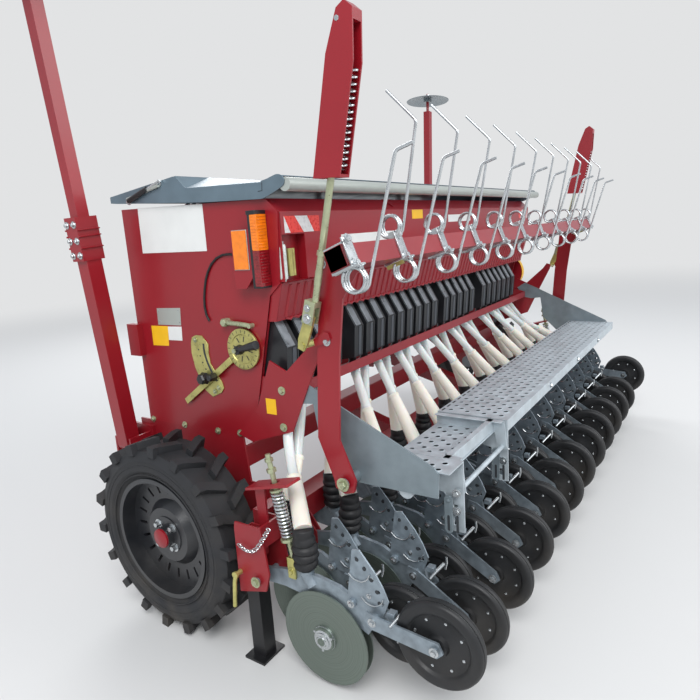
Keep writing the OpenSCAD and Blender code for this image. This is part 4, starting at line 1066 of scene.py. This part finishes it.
def make_lid():
    """Roof of thin sheet, sloping at its ends, with its skirts, front lip and hinge eyes."""
    sheet = Shape()
    x0, x1 = LID_X - LID_SHEET, LID_X - ROOF_INSET
    for s in (-1, 1):
        sheet.plate(rounded(SKIRT, 12, 3), s * x0, s * LID_X)
        corners = [[(s * x0, *FOLD), (s * x0, *RIDGE), (s * x1, *RIDGE)],
                   [(s * x0, *FOLD), (s * x1, *RIDGE), (s * x1, *VALLEY), (s * x0, *VALLEY_END)]]
        for ring in corners:
            sheet.rings([ring, [(x, y, z - LID_SHEET) for x, y, z in ring]])
    roof = [LID_FRONT, RIDGE, VALLEY, (-100, 1473), (-150, 1483)]
    inside = [(y, z - LID_SHEET) for y, z in roof]
    sheet.plate(roof[:2] + [inside[1], (631, 1481), (631, 1462), (635, 1462)], -x0, x0)
    sheet.plate(roof[1:3] + [inside[2], inside[1]], -x1, x1)
    sheet.plate(roof[2:] + inside[:1:-1], -x0, x0)
    for x in HINGES:
        for s in (-17, 17):
            eye = HINGE + vec(x + s, 0, 0)
            sheet.turned([(6.9, -3), (11, -3), (11, 3), (6.9, 3)], eye, RIGHT, 24, closed=True)
            sheet.block((x + s - 3, 610, HINGE.z + 8), (x + s + 3, 630, 1482))
    made = piece("lid_sheet", sheet, "lid", "lid", bevel=0.5)
    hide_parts("lid")
    # The slit at each end of the lid is a thin dark tube, painted shade
    slit = Shape()
    for s in (-1, 1):
        slit.tube([(s * LID_X, -95, 1466), (s * LID_X, -93, 1443), (s * LID_X, -77, 1442)], 1.2, 6)
    piece("lid_slit_shade", slit, "dark", "lid")


def make_lid_details():
    """Struts at both ends of the lid, with their fittings."""
    for side, name in SIDES:
        x = side * (SIDE + 15)
        dark, bright = shapes(2)
        dark.pin(9, 110, (x + side * 9, 520, 1462), LID_STRUT_ALONG, 16)
        bright.pin(4, 75, (x + side * 9, 415, 1493), LID_STRUT_ALONG, 12)
        bright.bolt((x, 357, 1508), (side, 0, 0), 12, 8)
        bright.bolt((x, 529, 1460), (side, 0, 0), 12, 8)
        piece("lid_strut_" + name, dark, "black", "lid")
        piece("lid_fittings_" + name, bright, "bright", "lid")


# Harrow

LOW_COIL = vec(0, -491, 1190)
TOP_COIL = vec(0, -450, 1314)
COIL_R = 31
TINE_R = 4.5
BAR = vec(0, -452, 1245)
BAR_HALF = 28
BAR_TILT = -20
TINE_PITCH = 284
TINE_END = 1400
TINES = [max(-TINE_END, min(TINE_END, (i - 5) * TINE_PITCH)) for i in range(11)]
COIL_WIDTH = 30.72
COIL_TURNS = 2
COIL_STEPS = 22
STRUT_ALONG = (0, -85, 338)


def tine_wire(x, coil, first, path):
    """Path of one tine: from its clamp, at an angle in degrees, round the coil and out to the tip."""
    last = 180 + 360 * COIL_TURNS
    count = COIL_STEPS * COIL_TURNS
    points = []
    for k in range(count + 1):
        y, z = polar(COIL_R, math.radians(first + (last - first) * k / count))
        points.append(vec(x + (k / count - 0.5) * COIL_WIDTH, coil.y + y, coil.z - z))
    out = points[-1].x
    return points[:-1] + rounded([points[-1]] + [vec(out, y, z) for y, z in path], 9)


def make_tines():
    """Tines with their coils, and the clamps and bolts that hold them to the bar."""
    wires, clamps, bolts = shapes(3)
    h = BAR_HALF
    for i, x in enumerate(TINES):
        bar = about_x((x, BAR.y, BAR.z), BAR_TILT)
        clamps.block((-20, -h - 6, -h - 3), (20, -h, h + 16), bar)
        clamps.block((-20, -h - 6, h), (20, h + 4, h + 6), bar)
        clamps.block((-20, -h - 6, -h - 7), (20, h + 4, -h), bar)
        for z in (-h + 2, h + 9):
            bolts.bolt(bar @ vec(0, -h - 6, z), bar.to_3x3() @ Vector(BACK), 15, 9)
        if i < 10:
            clamps.block((-16, -h - 24, -h - 9), (16, h, -h - 3), bar)
            low = LOW_COIL + vec(x, 0, 0)
            wires.tube(tine_wire(x, low, -40, [(-610, 1484), (-655, 1496)]), TINE_R, 8)
            bolts.bolt(bar @ vec(0, -h - 16, -h - 9), bar.to_3x3() @ vec(0, 0, -1), 12, 7)
        if i > 0:
            top = TOP_COIL + vec(x, 0, 0)
            wires.tube(tine_wire(x, top, 40, [(-534, 1590), (-448, 1679)]), TINE_R, 8)
            clamps.block((-14, -h - 4, h + 4), (14, -h + 18, h + 22), bar)
    made = piece("tine_wires", wires, "bright", "harrow", smooth=60)
    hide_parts("harrow_tines")
    piece("tine_clamps", clamps, "bright", "harrow", bevel=1)
    piece("tine_bolts", bolts, "bright", "harrow")


def make_harrow_details():
    """End caps and lugs of the bar, and bolts of the harrow's arms."""
    caps, bolts, yellow = shapes(3)
    end = box_mm("harrow_bar")[1].x
    for s in (-1, 1):
        bar = about_x((s * (end - 3), BAR.y, BAR.z), BAR_TILT)
        caps.block((-3, -BAR_HALF, -BAR_HALF), (3, BAR_HALF, BAR_HALF), bar)
        for y, z in ((-326, 1010), (-392, 1240), (-330, 1226)):
            bolts.bolt((s * (HARROW_ARM + 8), y, z), (s, 0, 0), 14, 8)
    piece("bar_caps", caps, "plastic", "harrow", bevel=1)
    piece("harrow_bolts", bolts, "bright", "harrow")
    for x in (-1150, 1150):
        yellow.block((x - 3, -BAR_HALF, -46), (x + 3, BAR_HALF, -BAR_HALF), about_x(BAR, BAR_TILT))
    piece("bar_lugs", yellow, "yellow_zinc", "harrow")


def make_struts():
    """Springs and fittings inside the harrow's spring struts."""
    for side, name in SIDES:
        body = "strut_" + name
        x = side * STRUT
        spring, yellow, bolts = shapes(3)
        spring.tube(helix((x, -431, 1462), (x, -483, 1690), 13, 15, 14), 2.6, 8)
        yellow.pin(13, 14, (x, -350, 1250), STRUT_ALONG, 6)
        yellow.pin(10.5, 40, (x, -330, 1172), STRUT_ALONG, 20)
        yellow.pin(9.6, 330, (x, -317, 1120), STRUT_ALONG, 20)
        bolts.bolt((x + side * 15, -300, 1110), (side, 0, 0), 11, 6)
        bolts.rivet((x + side * 22, -460, 1800), (side, 0, 0), 7, 2)
        bolts.bolt((x + side * 15, -297, 1081), (side, 0, 0), 15, 8)
        piece("strut_spring_" + name, spring, "bright", body)
        piece("strut_fittings_" + name, yellow, "green_zinc", body)
        piece("strut_bolts_" + name, bolts, "bright", body)


# Markers

def make_marker_details():
    """Bolts and clamps of the marker arms, and the nuts at their discs."""
    for side, name in SIDES:
        body = "marker_" + name
        foot = Matrix.Translation(vec(side * MARKER.x, MARKER.y, MARKER.z))
        lean = foot @ Matrix.Rotation(math.radians(side * MARKER_LEAN), 4, "Y")
        turn = lean.to_3x3()
        bolts, rings = shapes(2)
        for z in (725, 775, 830):
            for y in (-20, 20):
                bolts.bolt(lean @ vec(side * 42, y, z), turn @ vec(side, 0, 0), 13, 8)
        for z in (750, 790, 812):
            ring = [(-44, -35), (44, -35), (44, 35), (-44, 35)]
            path = rounded([lean @ vec(x, y, z) for x, y in ring], 6, 3)
            rings.tube(path, 3.2, 8)
        bolts.bolt(lean @ vec(0, -29, 0), turn @ Vector(BACK), 24, 11)
        bolts.bolt(lean @ vec(0, 29, 0), turn @ Vector(AHEAD), 24, 11)
        bolts.pin(16, 8, lean @ vec(0, 0, 1618), turn @ Vector(UP), 6)
        bolts.pin(13, 12, lean @ vec(0, 0, 1649), turn @ Vector(UP), 6)
        piece("marker_bolts_" + name, bolts, "bright", body)
        piece("marker_clamps_" + name, rings, "red", body)


# Studio, in metres

FLOOR_TONE = srgb(226, 227, 228)
FLOOR_COLOUR = srgb(214, 214, 213)
SKY_COLOUR = (0.86, 0.9, 0.96, 1)
SKY_STRENGTH = 0.75
FADE_START = 3.5
FADE_END = 14
FLOOR_HALF = 60
# Place, diameter and power of each lamp
LAMPS = {
    "key": ((-4.5, -2.5, 5.0), 4.0, 270),
    "fill": ((2.5, -6.0, 4.0), 5.0, 210),
    "back": ((3.5, 5.0, 5.0), 5.0, 200),
}
LAMP_TARGET = Vector((0, 0, 0.8))


def make_world():
    """Soft light from all sides. The camera sees the pale tone of the backdrop instead."""
    world = bpy.data.worlds.new("studio")
    bpy.context.scene.world = world
    world.use_nodes = True
    tree = world.node_tree
    light = tree.nodes["Background"]
    light.inputs["Color"].default_value = SKY_COLOUR
    light.inputs["Strength"].default_value = SKY_STRENGTH
    seen = add_node(tree, "ShaderNodeBackground", {"Color": FLOOR_TONE, "Strength": 1.0})
    path = add_node(tree, "ShaderNodeLightPath")
    mix = add_node(tree, "ShaderNodeMixShader",
                   {0: path.outputs["Is Camera Ray"], 1: light.outputs[0], 2: seen.outputs[0]})
    tree.links.new(mix.outputs[0], tree.nodes["World Output"].inputs["Surface"])


def make_floor():
    """Pale floor that fades into the backdrop's tone away from the machine."""
    floor = bpy.data.materials.new("studio_floor")
    floor.use_nodes = True
    tree = floor.node_tree
    shader = tree.nodes["Principled BSDF"]
    shader.inputs["Base Color"].default_value = FLOOR_COLOUR
    shader.inputs["Roughness"].default_value = 0.9
    place = add_node(tree, "ShaderNodeTexCoord")
    length = add_node(tree, "ShaderNodeVectorMath", {0: place.outputs["Object"]}, operation="LENGTH")
    ends = {"Value": length.outputs["Value"], "From Min": FADE_START, "From Max": FADE_END}
    fade = add_node(tree, "ShaderNodeMapRange", interpolation_type="SMOOTHSTEP", inputs=ends)
    glow = add_node(tree, "ShaderNodeEmission", {"Color": FLOOR_TONE})
    mix = add_node(tree, "ShaderNodeMixShader",
                   {0: fade.outputs["Result"], 1: shader.outputs[0], 2: glow.outputs[0]})
    tree.links.new(mix.outputs[0], tree.nodes["Material Output"].inputs["Surface"])
    mesh = bpy.data.meshes.new("studio_floor")
    corners = [(x * FLOOR_HALF, y * FLOOR_HALF, 0) for x, y in ((-1, -1), (1, -1), (1, 1), (-1, 1))]
    mesh.from_pydata(corners, [], [(0, 1, 2, 3)])
    mesh.materials.append(floor)
    plane = bpy.data.objects.new("studio_floor", mesh)
    bpy.context.scene.collection.objects.link(plane)


def make_lights():
    """Round area lamps that aim at the machine."""
    for name, (at, size, power) in LAMPS.items():
        data = bpy.data.lights.new(name, "AREA")
        data.shape = "DISK"
        data.size = size
        data.energy = power
        lamp = bpy.data.objects.new(name, data)
        lamp.location = at
        lamp.rotation_euler = (LAMP_TARGET - Vector(at)).to_track_quat("-Z", "Y").to_euler()
        bpy.context.scene.collection.objects.link(lamp)


bpy.context.scene.view_settings.view_transform = "Standard"
make_camera()
materials = {key: finish.material for key, finish in make_finishes().items()}
finish_cad()
make_bolts()
make_plates()
make_hopper()
make_stripes()
make_gauge()
make_lamps()
make_dial()
make_drive_cover()
make_units()
make_tubes()
make_bellows()
make_coulter_details()
make_disc_hubs()
make_press_wheels()
make_outer_springs()
make_stand_pins()
make_deck()
make_wheels()
make_lid()
make_lid_details()
make_tines()
make_harrow_details()
make_struts()
make_marker_details()
make_world()
make_floor()
make_lights()
